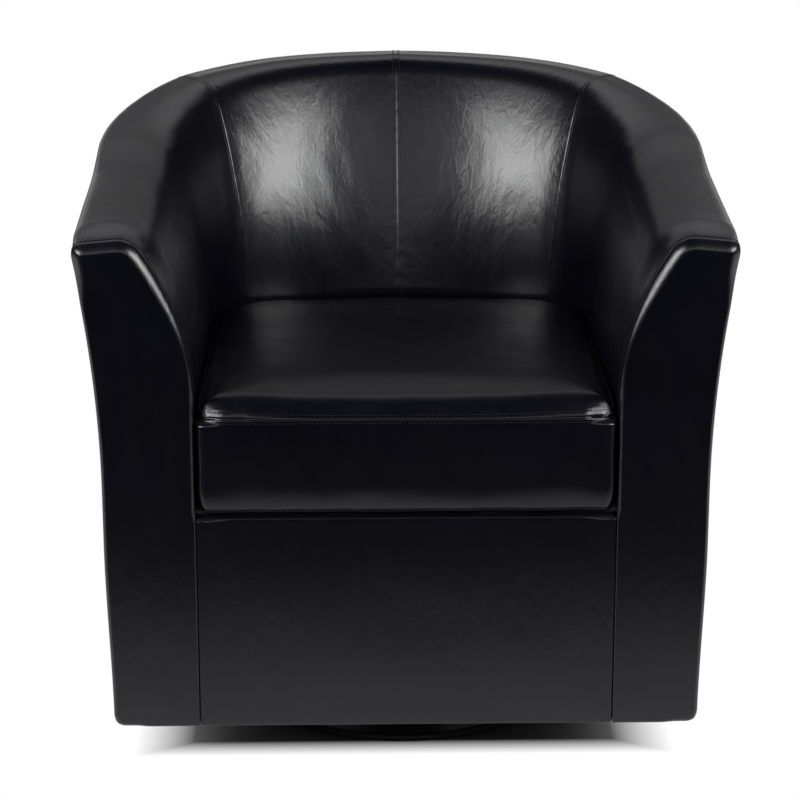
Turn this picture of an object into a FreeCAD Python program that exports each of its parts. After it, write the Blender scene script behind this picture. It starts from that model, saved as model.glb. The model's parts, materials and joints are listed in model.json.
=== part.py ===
import FreeCAD, Part
import collections
import math
import os
import Sketcher
from FreeCAD import Vector

# A swivel tub chair. The origin is on the floor on the swivel axis, the chair faces -Y and +Z is up.
# Left is -X and right is +X. All lengths are in millimetres and all angles in degrees.

SIZES = {
    # Tub outline
    "overall_width": 724,       # across the outer edges of the arm tops
    "body_width": 668,          # across the sides at the hem
    "front_reach": 310,         # swivel axis to the face of the arm fronts
    "bend_start": 40,           # swivel axis to where the straight sides start to bend round the back
    "rear_reach": 372,          # swivel axis to the top rear edge
    "rear_rake": 64,            # how far the outside back leans out from hem to top
    "side_wall": 99,            # inside face to outside face of the sides, at the hem
    "back_wall": 127,           # the same in the middle of the back
    "rake_share": 0.5,          # part of that lean which is a straight slope, the rest is a flare
    "hem_height": 80,
    "flare_height": 360,        # the sides are upright below this height
    "arm_height": 642,          # outer edge of the arm top at the front
    "shoulder_height": 674,     # the same edge where the back begins
    "shoulder_angle": 3,        # turn round the back at which the edge starts to climb
    "back_height": 740,
    # Inside of the tub
    "seat_corner": 0.8,         # roundness of the rear seat corners, 1 is an ellipse
    "lean_height": 465,         # the inside faces lean outwards above this height
    "arm_top": 61,              # width of the wall at its top
    "back_top": 67,
    "arm_bow": 0.23,            # share of the lean reached half way up
    "back_bow": 0.42,
    "seam_angle": 40,           # turn round the back of the seams between arms and back
    "turn_step": 5,             # turn between the sections of the curved wall
    "arm_crown": 6,             # rise of the top from its outer edge to its inner edge
    "back_crown": 3,
    "edge_radius": 10,
    # Upholstery
    "pad_thickness": 32,        # inside padding at the seat
    "pad_top_thickness": 18,    # inside padding where it reaches the top rails
    "top_pad": 26,              # padding over the top rails
    "cover_thickness": 5,
    "facing_thickness": 14,
    "facing_roll": 6,
    "facing_foot": 14,          # corner radius at the bottom of the arm fronts
    "front_cover_thickness": 10,
    "front_cover_gap": 3.7,     # top of the front cover to the cushion
    "front_cover_edge": 4,
    "soft_gap": 0.3,            # clearance round soft pieces
    "dust_cover_thickness": 1.2,
    "dust_cover_inset": 8,
    # Seat cushion
    "cushion_gap": 3.5,
    "cushion_setback": 2,       # cushion front behind the face of the arm fronts
    "cushion_seam": 445,
    "cushion_crown": 470,
    "cushion_dome": 100,        # width of the slope from the top seam to the flat of the crown
    "cushion_tuck": 10,         # how far the lower edge is drawn in
    "cushion_corner": 14,
    # Frame
    "frame_clearance": 4,       # hem to the underside of the frame
    "board_thickness": 18,
    "rail_height": 36,
    "rail_width": 45,
    "seat_frame_top": 322,
    "seat_frame_thickness": 25,
    "seat_frame_ledge": 14,     # inside faces of the tub to the inner edge of the seat frame
    "top_rail_thickness": 25,
    "stud_depth": 28,
    "post_width": 30,
    "post_clearance": 0.8,      # posts to the webbing and the cover that curve past them
    "corner_post_angle": 48,
    "back_post_angle": 74,
    "cross_rail_offset": 70,
    "cross_rail_width": 50,
    "block_leg": 60,
    "block_height": 30,
    # Suspension
    "spring_count": 5,
    "spring_first": -240,
    "spring_pitch": 62,
    "spring_wire": 4,
    "spring_wave": 26,
    "spring_swing": 16,
    "spring_bend": 6,
    "clip_wall": 1.2,
    "clip_length": 14,
    "clip_fit": 0.1,
    "deck_thickness": 5,
    "deck_lap": 24,             # how far the deck reaches under the inside padding
    "strap_height": 50,
    "strap_thickness": 1.5,
    "strap_first": 400,
    "strap_pitch": 90,
    "strap_count": 3,
    # Base and bearing
    "floor_pad_thickness": 2,
    "floor_pad_inset": 6,
    "plate_radius": 183,
    "plate_thickness": 8,
    "plate_edge": 4,
    "column_diameter": 76,
    "column_wall": 4,
    "gusset_reach": 52,
    "gusset_height": 40,
    "gusset_thickness": 5,
    "gusset_count": 4,
    "race_thickness": 4,
    "lower_race_radius": 72,
    "upper_race_length": 210,
    "upper_race_width": 190,
    "ball_radius": 4.5,
    "ball_circle": 56,
    "ball_count": 20,
    "ball_clearance": 0.3,
    "race_gap": 6,
    "cage_thickness": 2,
    "cage_margin": 2.5,
    "pin_diameter": 16,
    "pin_head_across": 24,
    "pin_head_height": 10,
    "pin_nut_height": 13,
    "bush_wall": 3,
    "bush_flange_radius": 17,
    "bush_flange": 2,
    "running_fit": 0.06,
    "washer_thickness": 3,
    "washer_lift": 0.3,
    "bolt_diameter": 8,
    "bolt_hole_clearance": 0.3,
    "bolt_head_across": 13,
    "bolt_head_height": 5.3,
    "bolt_nut_height": 6.8,
    "bolt_washer_radius": 9,
    "bolt_washer_thickness": 1.6,
    "bolt_spacing": 160,
    "bolt_tail": 3,
}

doc = FreeCAD.newDocument("swivel_club_chair")
sheet = doc.addObject("Spreadsheet::Sheet", "sizes")
for row, (name, number) in enumerate(SIZES.items(), start=1):
    sheet.set(f"A{row}", name)
    sheet.set(f"B{row}", str(number))
    sheet.setAlias(f"B{row}", name)
doc.recompute()

nodes = []


def size(name):
    return float(getattr(sheet, name))


def value(expression):
    return float(sheet.evalExpression(expression))


def keep(piece, label):
    """Register a document object as a sub-part."""
    piece.Label = label
    nodes.append(piece)
    return piece


def keep_shape(shape, label):
    """Register a finished shape as a sub-part."""
    piece = doc.addObject("Part::Feature", label)
    piece.Shape = shape
    return keep(piece, label)


def keep_group(solids, label):
    return keep_shape(Part.makeCompound(solids), label)


# Heights and widths shared by many pieces

half_top = size("overall_width") / 2
half_body = size("body_width") / 2
half_seat = half_body - size("side_wall")
side_flare = half_top - half_body
seat_rear = size("rear_reach") - size("rear_rake") - size("back_wall")
gap = size("soft_gap")
front_face = -size("front_reach")
board_front = front_face + size("facing_thickness")
board_back = board_front + size("board_thickness")
frame_bottom = size("hem_height") + size("frame_clearance")
rail_top = frame_bottom + size("rail_height")
seat_frame_bottom = size("seat_frame_top") - size("seat_frame_thickness")
wire_height = size("seat_frame_top") + size("clip_wall") + size("spring_wire") / 2
clip_top = wire_height + size("spring_wire") / 2 + size("clip_wall")
deck_top = clip_top + size("deck_thickness")
pad_bottom = deck_top + gap


# Stations: upright planes that cut the tub wall square, from an arm front to the middle of the back

Station = collections.namedtuple("Station", "inner outward depth turn rim")


def make_station(inner, outer, turn, rim):
    across = outer - inner
    return Station(inner, across.normalize(), (outer - inner).Length, turn, rim)


def side_station(y):
    """A station on the straight right side, at distance y behind the swivel axis."""
    share = (y - front_face) / (size("bend_start") - front_face)
    rim = size("arm_height") + (size("shoulder_height") - size("arm_height")) * share
    return make_station(Vector(half_seat, y, 0), Vector(half_top, y, 0), 0.0, rim)


def back_station(turn):
    """A station on the right half of the back, turned this many degrees from the side."""
    cosine = math.cos(math.radians(turn))
    sine = math.sin(math.radians(turn))
    power = size("seat_corner")
    start = size("bend_start")
    inner = Vector(half_seat * cosine ** power, start + (seat_rear - start) * sine ** power, 0)
    outer = Vector(half_top * cosine, start + (size("rear_reach") - start) * sine, 0)
    if turn == 90:
        inner.x = 0
        outer.x = 0
    climb = max(0.0, (turn - size("shoulder_angle")) / (90 - size("shoulder_angle")))
    rise = size("back_height") - size("shoulder_height")
    return make_station(inner, outer, turn, size("shoulder_height") + rise * (1 - (1 - climb) ** 3))


def mirrored(station):
    flip = Vector(-station.inner.x, station.inner.y, 0)
    turned = Vector(-station.outward.x, station.outward.y, 0)
    return station._replace(inner=flip, outward=turned)


def place(station, reach, height):
    """The point at this reach outwards from the inside face, and at this height."""
    return station.inner + station.outward * reach + Vector(0, 0, height)


def between(low, high, share):
    return low + (high - low) * share


def back_weight(station):
    """0 on the sides and 1 in the middle of the back."""
    return math.sin(math.radians(station.turn)) ** 3


def outer_reach(station, height):
    """Reach of the outside of the wall at a height: upright, then flaring out to the rim."""
    weight = back_weight(station)
    lean = between(side_flare, size("rear_rake"), weight)
    slope = size("rake_share") * weight
    rise = (height - size("hem_height")) / (station.rim - size("hem_height"))
    flare = max(0.0, (height - size("flare_height")) / (station.rim - size("flare_height"))) ** 2
    return station.depth - lean * (1 - between(flare, rise, slope))


def lean(station):
    """Reach of the inside face at the top."""
    return station.depth - between(size("arm_top"), size("back_top"), back_weight(station))


def crest(station):
    """Height of the inner edge of the top."""
    return station.rim + between(size("arm_crown"), size("back_crown"), back_weight(station))


def top_underside(station):
    return station.rim - size("top_pad")


def face_arc(station, inset, end_height):
    """The leaning inside face as start, middle and end (reach, height), drawn in by an inset."""
    bow = between(size("arm_bow"), size("back_bow"), back_weight(station))
    end_reach = lean(station) + inset
    start = (inset, size("lean_height"))
    middle = (between(inset, end_reach, bow), (size("lean_height") + end_height) / 2)
    return start, middle, (end_reach, end_height)


def padding_back(station, height):
    """Reach of the straight back of the inside padding at a height."""
    share = (height - pad_bottom) / (top_underside(station) - pad_bottom)
    return between(size("pad_thickness"), lean(station) + size("pad_top_thickness"), share)


def edges_through(station, path):
    """Edges through (reach, height) corners; a tuple of three corners is an arc."""
    edges = []
    for step in path:
        points = [place(station, reach, height) for reach, height in step]
        if len(points) == 3:
            edges.append(Part.Arc(*points).toShape())
        else:
            edges.append(Part.makeLine(*points))
    return edges


def loft(stations, section):
    """A solid through the same closed section at each station."""
    wires = [Part.Wire(edges_through(station, section(station))) for station in stations]
    return Part.makeLoft(wires, True, True)


ROUND = 1 - math.sqrt(0.5)      # how far the middle of a quarter circle stays short of its corner


def top_path(station, inset=0.0):
    """The inside face from the lean up, its rounded edge, the top and the rounded outer edge."""
    edge = size("edge_radius")
    high = crest(station) - inset
    rim = station.rim - inset
    start, middle, end = face_arc(station, inset, high - edge)
    inner_bulge = (end[0] + edge * ROUND, high - edge * ROUND)
    inner_edge = (end[0] + edge, high)
    outer_end = (outer_reach(station, rim - edge) - inset, rim - edge)
    outer_bulge = (outer_end[0] - edge * ROUND, rim - edge * ROUND)
    outer_edge = (outer_end[0] - edge, rim)
    return [
        (start, middle, end),
        (end, inner_bulge, inner_edge),
        (inner_edge, outer_edge),
        (outer_edge, outer_bulge, outer_end),
    ]


def inside_section(station):
    """Inside cover with its padding: up the inside face, over the top, and back behind the padding."""
    path = top_path(station)
    low = (0.0, pad_bottom)
    under = top_underside(station)
    lip = (outer_reach(station, under), under)
    head = (padding_back(station, under), under)
    foot = (padding_back(station, pad_bottom), pad_bottom)
    return [(low, path[0][0])] + path + [(path[-1][-1], lip), (lip, head), (head, foot), (foot, low)]


def outer_path(station, inset, bottom, top):
    """The outside of the wall, moved inwards by an inset, from bottom to top."""
    bend = size("flare_height")
    heights = (bend, (bend + top) / 2, top)
    low = (outer_reach(station, bottom) - inset, bottom)
    curve = tuple((outer_reach(station, height) - inset, height) for height in heights)
    return [(low, curve[0]), curve]


def outside_section(station):
    """Thin outside cover from the hem up to the lip of the inside cover."""
    top = top_underside(station) - gap
    outside = outer_path(station, 0.0, size("hem_height"), top)
    inside = outer_path(station, size("cover_thickness"), size("hem_height"), top)
    back = [tuple(reversed(step)) for step in reversed(inside)]
    return outside + [(outside[-1][-1], back[0][0])] + back + [(back[-1][-1], outside[0][0])]


def frame_limit(station, height):
    """Reach of the frame inside the outside cover."""
    return outer_reach(station, height) - size("cover_thickness") - gap


def rectangle(corners):
    return [pair for pair in zip(corners, corners[1:] + corners[:1])]


def bar_section(inner, bottom, top):
    """A bar against the outside cover; inner gives its inner reach at a station and a height."""
    def section(station):
        low = bottom(station)
        high = top(station)
        return rectangle([
            (inner(station, low), low),
            (frame_limit(station, low), low),
            (frame_limit(station, high), high),
            (inner(station, high), high),
        ])
    return section


def top_rail_top(station):
    return top_underside(station) - gap


def top_rail_bottom(station):
    return top_rail_top(station) - size("top_rail_thickness")


def top_rail_inner(station, height):
    return lean(station) + size("pad_top_thickness") + gap


def turns(start, end):
    """Back stations in even steps from one turn to another."""
    count = max(1, round((end - start) / size("turn_step")))
    return [back_station(between(start, end, index / count)) for index in range(count + 1)]


seam = size("seam_angle")
arm_stations = [side_station(board_front + gap)] + turns(0, seam)
behind_board = [side_station(board_back)] + turns(0, seam)
half_back = turns(seam, 90)
whole_back = half_back + [mirrored(station) for station in reversed(half_back[:-1])]
whole_frame = behind_board[:-1] + whole_back + [mirrored(station) for station in reversed(behind_board[:-1])]


def both_sides(shape, label):
    """Keep a right-hand shape and its mirror image."""
    keep_shape(shape, label + "_right")
    keep_shape(shape.mirror(Vector(0, 0, 0), Vector(1, 0, 0)), label + "_left")


# Inside and outside covers

both_sides(loft(arm_stations, inside_section), "inside_arm")
both_sides(loft(half_back, inside_section), "inside_back")
both_sides(loft(arm_stations, outside_section), "outside_arm")
keep_shape(loft(whole_back, outside_section), "outside_back")


# Arm fronts: the full outline of the wall, with a rolled front edge

def facing_wire(y, inset):
    """Outline of an arm front at depth y, drawn in by an inset."""
    station = side_station(front_face)._replace(inner=Vector(half_seat, y, 0))
    foot = size("facing_foot")
    hem = size("hem_height") + inset
    outside = outer_path(station, inset, hem + foot, station.rim - inset - size("edge_radius"))
    heel = outside[0][0]
    toe = (heel[0] - foot, hem)
    bulge = (heel[0] - foot * ROUND, hem + foot * ROUND)
    low = (inset, hem)
    up = [tuple(reversed(step)) for step in reversed(top_path(station, inset))]
    path = [(low, toe), (toe, bulge, heel)] + outside + up + [(up[-1][-1], low)]
    return Part.Wire(edges_through(station, path))


facing_roll = size("facing_roll")
facing_steps = [
    (board_front, 0.0),
    (front_face + facing_roll, 0.0),
    (front_face + facing_roll * ROUND, facing_roll * ROUND),
    (front_face, facing_roll),
]
both_sides(Part.makeLoft([facing_wire(*step) for step in facing_steps], True, True), "arm_front")


# Frame of boards, rails and posts

def board_outline(station):
    """Arm front panel between the inside padding and the outside cover."""
    top = top_rail_top(station)
    inner = size("pad_thickness") + gap
    outside = outer_path(station, size("cover_thickness") + gap, frame_bottom, top)
    low = (inner, frame_bottom)
    knee = (inner, pad_bottom)
    head = (top_rail_inner(station, top), top)
    return [(low, outside[0][0])] + outside + [(outside[-1][-1], head), (head, knee), (knee, low)]


panel_station = side_station(board_front)
panel_wire = Part.Wire(edges_through(panel_station, board_outline(panel_station)))
both_sides(Part.Face(panel_wire).extrude(Vector(0, size("board_thickness"), 0)), "arm_front_panel")

base_frame = keep_shape(
    loft(whole_frame, bar_section(
        lambda station, height: frame_limit(station, frame_bottom) - size("rail_width"),
        lambda station: frame_bottom,
        lambda station: rail_top,
    )),
    "base_frame",
)
keep_shape(
    loft(whole_frame, bar_section(
        lambda station, height: size("seat_frame_ledge"),
        lambda station: seat_frame_bottom,
        lambda station: size("seat_frame_top"),
    )),
    "seat_frame",
)
top_rail = bar_section(top_rail_inner, top_rail_bottom, top_rail_top)
both_sides(loft(behind_board, top_rail), "arm_top_rail")
keep_shape(loft(whole_back, top_rail), "back_top_rail")


def stud_section(station):
    """A stud in the middle of the base frame rail, up to the seat frame."""
    outer = frame_limit(station, frame_bottom) - (size("rail_width") - size("stud_depth")) / 2
    inner = outer - size("stud_depth")
    return rectangle([
        (inner, rail_top),
        (outer, rail_top),
        (outer, seat_frame_bottom),
        (inner, seat_frame_bottom),
    ])


def post_section(station):
    """A shaped post from the seat frame to the top rail, between the webbing and the outside cover."""
    low = size("seat_frame_top")
    high = top_rail_bottom(station) - gap
    near = gap + size("strap_thickness") + size("post_clearance")
    foot = (padding_back(station, low) + near, low)
    head = (padding_back(station, high) + near, high)
    heights = (low, (low + high) / 2, high)
    outside = tuple((frame_limit(station, height) - size("post_clearance"), height) for height in heights)
    return [(foot, outside[0]), outside, (outside[-1], head), (head, foot)]


def turn_pair(turn):
    """Two back stations about a post's width apart, either side of a turn."""
    middle = back_station(turn)
    radius = (place(middle, middle.depth / 2, 0) - Vector(0, size("bend_start"), 0)).Length
    half = math.degrees(size("post_width") / 2 / radius)
    return [back_station(turn - half), back_station(turn + half)]


arm_post_middle = size("bend_start") - size("post_width") / 2
post_stations = {
    "arm": [side_station(arm_post_middle + side * size("post_width") / 2) for side in (-1, 1)],
    "corner": turn_pair(size("corner_post_angle")),
    "back": turn_pair(size("back_post_angle")),
}
for name, pair in post_stations.items():
    both_sides(loft(pair, stud_section), name + "_stud")
    both_sides(loft(pair, post_section), name + "_post")

half_strap = turns(size("corner_post_angle"), 90)
strap_stations = half_strap + [mirrored(station) for station in reversed(half_strap[:-1])]


def strap(bottom):
    """One elastic strap across the back of the inside padding."""
    top = bottom + size("strap_height")
    near = gap
    far = gap + size("strap_thickness")

    def section(station):
        low = padding_back(station, bottom)
        high = padding_back(station, top)
        return rectangle([(low + near, bottom), (low + far, bottom), (high + far, top), (high + near, top)])
    return loft(strap_stations, section)


strap_numbers = range(int(size("strap_count")))
strap_heights = [size("strap_first") + size("strap_pitch") * number for number in strap_numbers]
keep_group([strap(height) for height in strap_heights], "back_webbing")


# Boards and cross rails, bound to the sheet

def box(label, corner, lengths):
    """A box from its lowest corner and its lengths, all given as expressions."""
    piece = doc.addObject("Part::Box", label)
    for axis, expression in zip("xyz", corner):
        piece.setExpression(f"Placement.Base.{axis}", expression)
    for side, expression in zip(("Length", "Width", "Height"), lengths):
        piece.setExpression(side, expression)
    return piece


def cylinder(label, centre, radius, height):
    """An upright cylinder from the centre of its lower face, all given as expressions."""
    piece = doc.addObject("Part::Cylinder", label)
    for axis, expression in zip("xyz", centre):
        piece.setExpression(f"Placement.Base.{axis}", expression)
    piece.setExpression("Radius", radius)
    piece.setExpression("Height", height)
    return piece


def cut(label, base, tools):
    """A base with every tool cut out of it."""
    for number, tool in enumerate(tools, start=1):
        piece = doc.addObject("Part::Cut", f"{label}_cut_{number}")
        piece.Base = base
        piece.Tool = tool
        base = piece
    return base


FRAME_BOTTOM = "(sizes.hem_height + sizes.frame_clearance)"
BOARD_FRONT = "(sizes.facing_thickness - sizes.front_reach)"
RAIL_REACH = "(sizes.body_width / 2 - sizes.cover_thickness - sizes.soft_gap - sizes.rail_width)"
HALF_SEAT = "(sizes.body_width / 2 - sizes.side_wall)"
BOLT_HOLE = "(sizes.bolt_diameter / 2 + sizes.bolt_hole_clearance)"
RACE_TOP = FRAME_BOTTOM
RACE_BOTTOM = f"({FRAME_BOTTOM} - sizes.race_thickness)"
LOWER_RACE_TOP = f"({RACE_BOTTOM} - sizes.race_gap)"
LOWER_RACE_BOTTOM = f"({LOWER_RACE_TOP} - sizes.race_thickness)"
PLATE_TOP = "(sizes.floor_pad_thickness + sizes.plate_thickness)"

keep(
    box(
        "front_board",
        (f"-{HALF_SEAT} - sizes.pad_thickness", BOARD_FRONT, FRAME_BOTTOM),
        (
            f"2 * ({HALF_SEAT} + sizes.pad_thickness)",
            "sizes.board_thickness",
            f"sizes.seat_frame_top - {FRAME_BOTTOM}",
        ),
    ),
    "front_board",
)


def bolt_holes(label, y_signs, bottom, height):
    """Cylinders for the holes of the swivel bolts."""
    holes = []
    for x_sign in (-1, 1):
        for y_sign in y_signs:
            centre = (f"{x_sign} * sizes.bolt_spacing / 2", f"{y_sign} * sizes.cross_rail_offset", bottom)
            holes.append(cylinder(f"{label}_hole_{len(holes)}", centre, BOLT_HOLE, height))
    return holes


for name, sign in (("front", -1), ("rear", 1)):
    label = f"cross_rail_{name}"
    rail = box(
        label + "_blank",
        (f"-{RAIL_REACH}", f"{sign} * sizes.cross_rail_offset - sizes.cross_rail_width / 2", FRAME_BOTTOM),
        (f"2 * {RAIL_REACH}", "sizes.cross_rail_width", "sizes.rail_height"),
    )
    holes = bolt_holes(label, (sign,), FRAME_BOTTOM, "sizes.rail_height")
    keep(cut(label, rail, [base_frame] + holes), label)


def corner_block(x_sign, y, y_sign):
    """A triangular block in the corner between the base frame and a board or rail."""
    edge = x_sign * (half_body - size("cover_thickness") - gap - size("rail_width"))
    leg = size("block_leg")
    corner = Vector(edge, y, frame_bottom)
    points = [corner, corner + Vector(-x_sign * leg, 0, 0), corner + Vector(0, y_sign * leg, 0), corner]
    block = Part.Face(Part.makePolygon(points)).extrude(Vector(0, 0, size("block_height")))
    return block.cut(base_frame.Shape)


rail_corner = size("cross_rail_offset") - size("cross_rail_width") / 2
corners = [corner_block(side, board_back, 1) for side in (-1, 1)]
corners += [corner_block(side, rail_corner, -1) for side in (-1, 1)]
keep_group(corners, "corner_blocks")


# Seat springs, their clips and the deck

def rounded_path(points, radius):
    """Straight runs through the points, with an arc at each corner."""
    edges = []
    start = points[0]
    for before, corner, after in zip(points, points[1:], points[2:]):
        back = (before - corner).normalize()
        on = (after - corner).normalize()
        half = back.getAngle(on) / 2
        reach = radius / math.tan(half)
        bisector = (back + on).normalize()
        first = corner + back * reach
        last = corner + on * reach
        middle = corner + bisector * (radius / math.sin(half) - radius)
        edges.append(Part.makeLine(start, first))
        edges.append(Part.Arc(first, middle, last).toShape())
        start = last
    edges.append(Part.makeLine(start, points[-1]))
    return edges


spring_end = half_seat + size("seat_frame_ledge") + size("clip_length")
spring_numbers = range(int(size("spring_count")))
spring_ys = [size("spring_first") + size("spring_pitch") * number for number in spring_numbers]


def spring(y):
    """A sinuous spring from one side of the seat frame to the other."""
    straight = half_seat - size("spring_wave")
    waves = int(2 * straight / size("spring_wave"))
    step = 2 * straight / waves
    points = [Vector(-spring_end, y, wire_height), Vector(-straight, y, wire_height)]
    for index in range(waves):
        swing = size("spring_swing") * (1 if index % 2 == 0 else -1)
        points.append(Vector(-straight + step * (index + 0.5), y + swing, wire_height))
    points += [Vector(straight, y, wire_height), Vector(spring_end, y, wire_height)]
    wire = Part.Wire(rounded_path(points, size("spring_bend")))
    circle = Part.makeCircle(size("spring_wire") / 2, points[0], Vector(1, 0, 0))
    return wire.makePipeShell([Part.Wire(circle)], True, False)


keep_group([spring(y) for y in spring_ys], "seat_springs")


def clip(x_sign, y):
    """A folded steel clip that holds a spring's end on the seat frame."""
    length = size("clip_length")
    hole = size("spring_wire") / 2 + size("clip_fit")
    half = hole + size("clip_wall")
    start = half_seat + size("seat_frame_ledge") if x_sign > 0 else -spring_end
    corner = Vector(start, y - half, size("seat_frame_top"))
    block = Part.makeBox(length, 2 * half, clip_top - size("seat_frame_top"), corner)
    return block.cut(Part.makeCylinder(hole, length, Vector(start, y, wire_height), Vector(1, 0, 0)))


keep_group([clip(side, y) for side in (-1, 1) for y in spring_ys], "spring_clips")


def plan_wire(reach, front, corner, height):
    """A D-shaped outline: straight front and sides, and arcs round the back."""
    half = [side_station(size("bend_start"))]
    half += [back_station(turn) for turn in (seam / 2, seam, (seam + 90) / 2, 90)]
    right = [place(station, reach(station), height) for station in half]
    left = [Vector(-point.x, point.y, point.z) for point in right]
    side = right[0].x
    slant = corner * ROUND
    front_right = [
        Vector(side - corner, front, height),
        Vector(side - slant, front + slant, height),
        Vector(side, front + corner, height),
    ]
    front_left = [Vector(-point.x, point.y, point.z) for point in reversed(front_right)]
    edges = [
        Part.Arc(*front_right),
        Part.LineSegment(front_right[2], right[0]),
        Part.Arc(*right[0:3]),
        Part.Arc(*right[2:5]),
        Part.Arc(*reversed(left[2:5])),
        Part.Arc(*reversed(left[0:3])),
        Part.LineSegment(left[0], front_left[0]),
        Part.Arc(*front_left),
        Part.LineSegment(front_left[2], front_right[0]),
    ]
    return Part.Wire([edge.toShape() for edge in edges])


deck_wire = plan_wire(lambda station: size("deck_lap"), board_front + gap, size("cushion_corner"), clip_top)
keep_shape(Part.Face(deck_wire).extrude(Vector(0, 0, size("deck_thickness"))), "deck_pad")


# Seat cushion: sides drawn in towards the lower edge, and a crown above the top seam

DOME_STEPS = (15, 30, 45, 60, 80)


def cushion_wire(inset, height):
    front = front_face + size("cushion_setback") + inset
    return plan_wire(lambda station: -size("cushion_gap") - inset, front, size("cushion_corner"), height)


def cushion_levels():
    """Pairs of inset and height from the lower edge up to the crown."""
    tuck = size("cushion_tuck")
    rise = size("cushion_crown") - size("cushion_seam")
    levels = [
        (tuck, pad_bottom),
        (tuck * ROUND, pad_bottom + tuck * (1 - ROUND)),
        (0.0, (pad_bottom + size("cushion_seam")) / 2),
        (0.0, size("cushion_seam")),
    ]
    for step in DOME_STEPS:
        turn = math.radians(step)
        inset = size("cushion_dome") * (1 - math.cos(turn))
        levels.append((inset, size("cushion_seam") + rise * math.sin(turn)))
    return levels


keep_shape(Part.makeLoft([cushion_wire(*level) for level in cushion_levels()], True, True), "seat_cushion")


# Dust cover under the frame, with a window for the swivel

dust_bottom = frame_bottom - size("dust_cover_thickness")
dust_wire = plan_wire(
    lambda station: frame_limit(station, frame_bottom) - size("dust_cover_inset"),
    board_back + size("dust_cover_inset"),
    size("dust_cover_inset"),
    dust_bottom,
)
window = Part.makeBox(
    size("upper_race_length") + 2 * size("dust_cover_inset"),
    size("upper_race_width") + 2 * size("dust_cover_inset"),
    size("dust_cover_thickness"),
    Vector(
        -size("upper_race_length") / 2 - size("dust_cover_inset"),
        -size("upper_race_width") / 2 - size("dust_cover_inset"),
        dust_bottom,
    ),
)
dust_sheet = Part.Face(dust_wire).extrude(Vector(0, 0, size("dust_cover_thickness")))
keep_shape(dust_sheet.cut(window), "dust_cover")


# Bodies made from a bound sketch

def sketch_on(body, role, corners):
    """A closed sketch through corners, pairs of expressions, on one of the body's origin planes."""
    sketch = body.newObject("Sketcher::SketchObject", body.Name + "_sketch")
    plane = next(item for item in body.Origin.OriginFeatures if item.Role == role)
    sketch.AttachmentSupport = [(plane, "")]
    sketch.MapMode = "FlatFace"
    points = [Vector(value(across), value(up), 0) for across, up in corners]
    for start, end in zip(points, points[1:] + points[:1]):
        sketch.addGeometry(Part.LineSegment(start, end))
    for number, pair in enumerate(corners):
        before = (number - 1) % len(corners)
        sketch.addConstraint(Sketcher.Constraint("Coincident", before, 2, number, 1))
        for kind, expression in zip(("DistanceX", "DistanceY"), pair):
            constraint = sketch.addConstraint(Sketcher.Constraint(kind, number, 1, value(expression)))
            sketch.setExpression(f"Constraints[{constraint}]", expression)
    return sketch


def turned_body(label, corners):
    """A body turned about the swivel axis from a profile in the XZ plane."""
    body = doc.addObject("PartDesign::Body", label)
    sketch = sketch_on(body, "XZ_Plane", corners)
    feature = body.newObject("PartDesign::Revolution", label + "_turn")
    feature.Profile = sketch
    feature.ReferenceAxis = (sketch, ["V_Axis"])
    feature.Angle = 360
    doc.recompute()
    return body


def padded_body(label, corners, height, base):
    """A body padded upwards from an outline in the XY plane."""
    body = doc.addObject("PartDesign::Body", label)
    sketch = sketch_on(body, "XY_Plane", corners)
    feature = body.newObject("PartDesign::Pad", label + "_pad")
    feature.Profile = sketch
    feature.setExpression("Length", height)
    body.setExpression("Placement.Base.z", base)
    doc.recompute()
    return body


def round_edges(body, chosen, radius):
    """Round the edges of a body that a test picks out."""
    base = body.Tip
    names = [f"Edge{number}" for number, edge in enumerate(body.Shape.Edges, start=1) if chosen(edge)]
    feature = body.newObject("PartDesign::Fillet", body.Name + "_round")
    feature.Base = (base, names)
    feature.setExpression("Radius", radius)
    doc.recompute()


def ring_profile(inner, outer, bottom, top):
    return [(inner, bottom), (outer, bottom), (outer, top), (inner, top)]


# Base: floor pad, floor plate, column and gussets

PAD_RADIUS = "sizes.plate_radius - sizes.floor_pad_inset"
keep(cylinder("floor_pad", ("0", "0", "0"), PAD_RADIUS, "sizes.floor_pad_thickness"), "floor_pad")
plate_shoulder = f"({PLATE_TOP} - sizes.plate_edge)"
floor_plate = turned_body("floor_plate", [
    ("0", "sizes.floor_pad_thickness"),
    ("sizes.plate_radius", "sizes.floor_pad_thickness"),
    ("sizes.plate_radius", PLATE_TOP),
    ("0", PLATE_TOP),
])
round_edges(
    floor_plate,
    lambda edge: edge.Closed and edge.BoundBox.ZMin > value(plate_shoulder),
    "sizes.plate_edge",
)
keep(floor_plate, "floor_plate")

COLUMN_RADIUS = "(sizes.column_diameter / 2)"
COLUMN_BORE = f"({COLUMN_RADIUS} - sizes.column_wall)"
column_profile = ring_profile(COLUMN_BORE, COLUMN_RADIUS, PLATE_TOP, LOWER_RACE_BOTTOM)
keep(turned_body("column_tube", column_profile), "column_tube")


def gusset(turn):
    """A triangular plate between the column and the floor plate."""
    inner = size("column_diameter") / 2
    base = value(PLATE_TOP)
    thick = size("gusset_thickness")
    points = [
        Vector(inner, -thick / 2, base),
        Vector(inner + size("gusset_reach"), -thick / 2, base),
        Vector(inner, -thick / 2, base + size("gusset_height")),
    ]
    plate = Part.Face(Part.makePolygon(points + points[:1])).extrude(Vector(0, thick, 0))
    plate.rotate(Vector(0, 0, 0), Vector(0, 0, 1), turn)
    return plate


gussets = int(size("gusset_count"))
keep_group([gusset(360 / gussets * (index + 0.5)) for index in range(gussets)], "column_gussets")


# Swivel bearing: two races, balls in a cage, and a king pin through the middle

BALL_PLANE = f"({RACE_BOTTOM} - sizes.race_gap / 2)"


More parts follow.
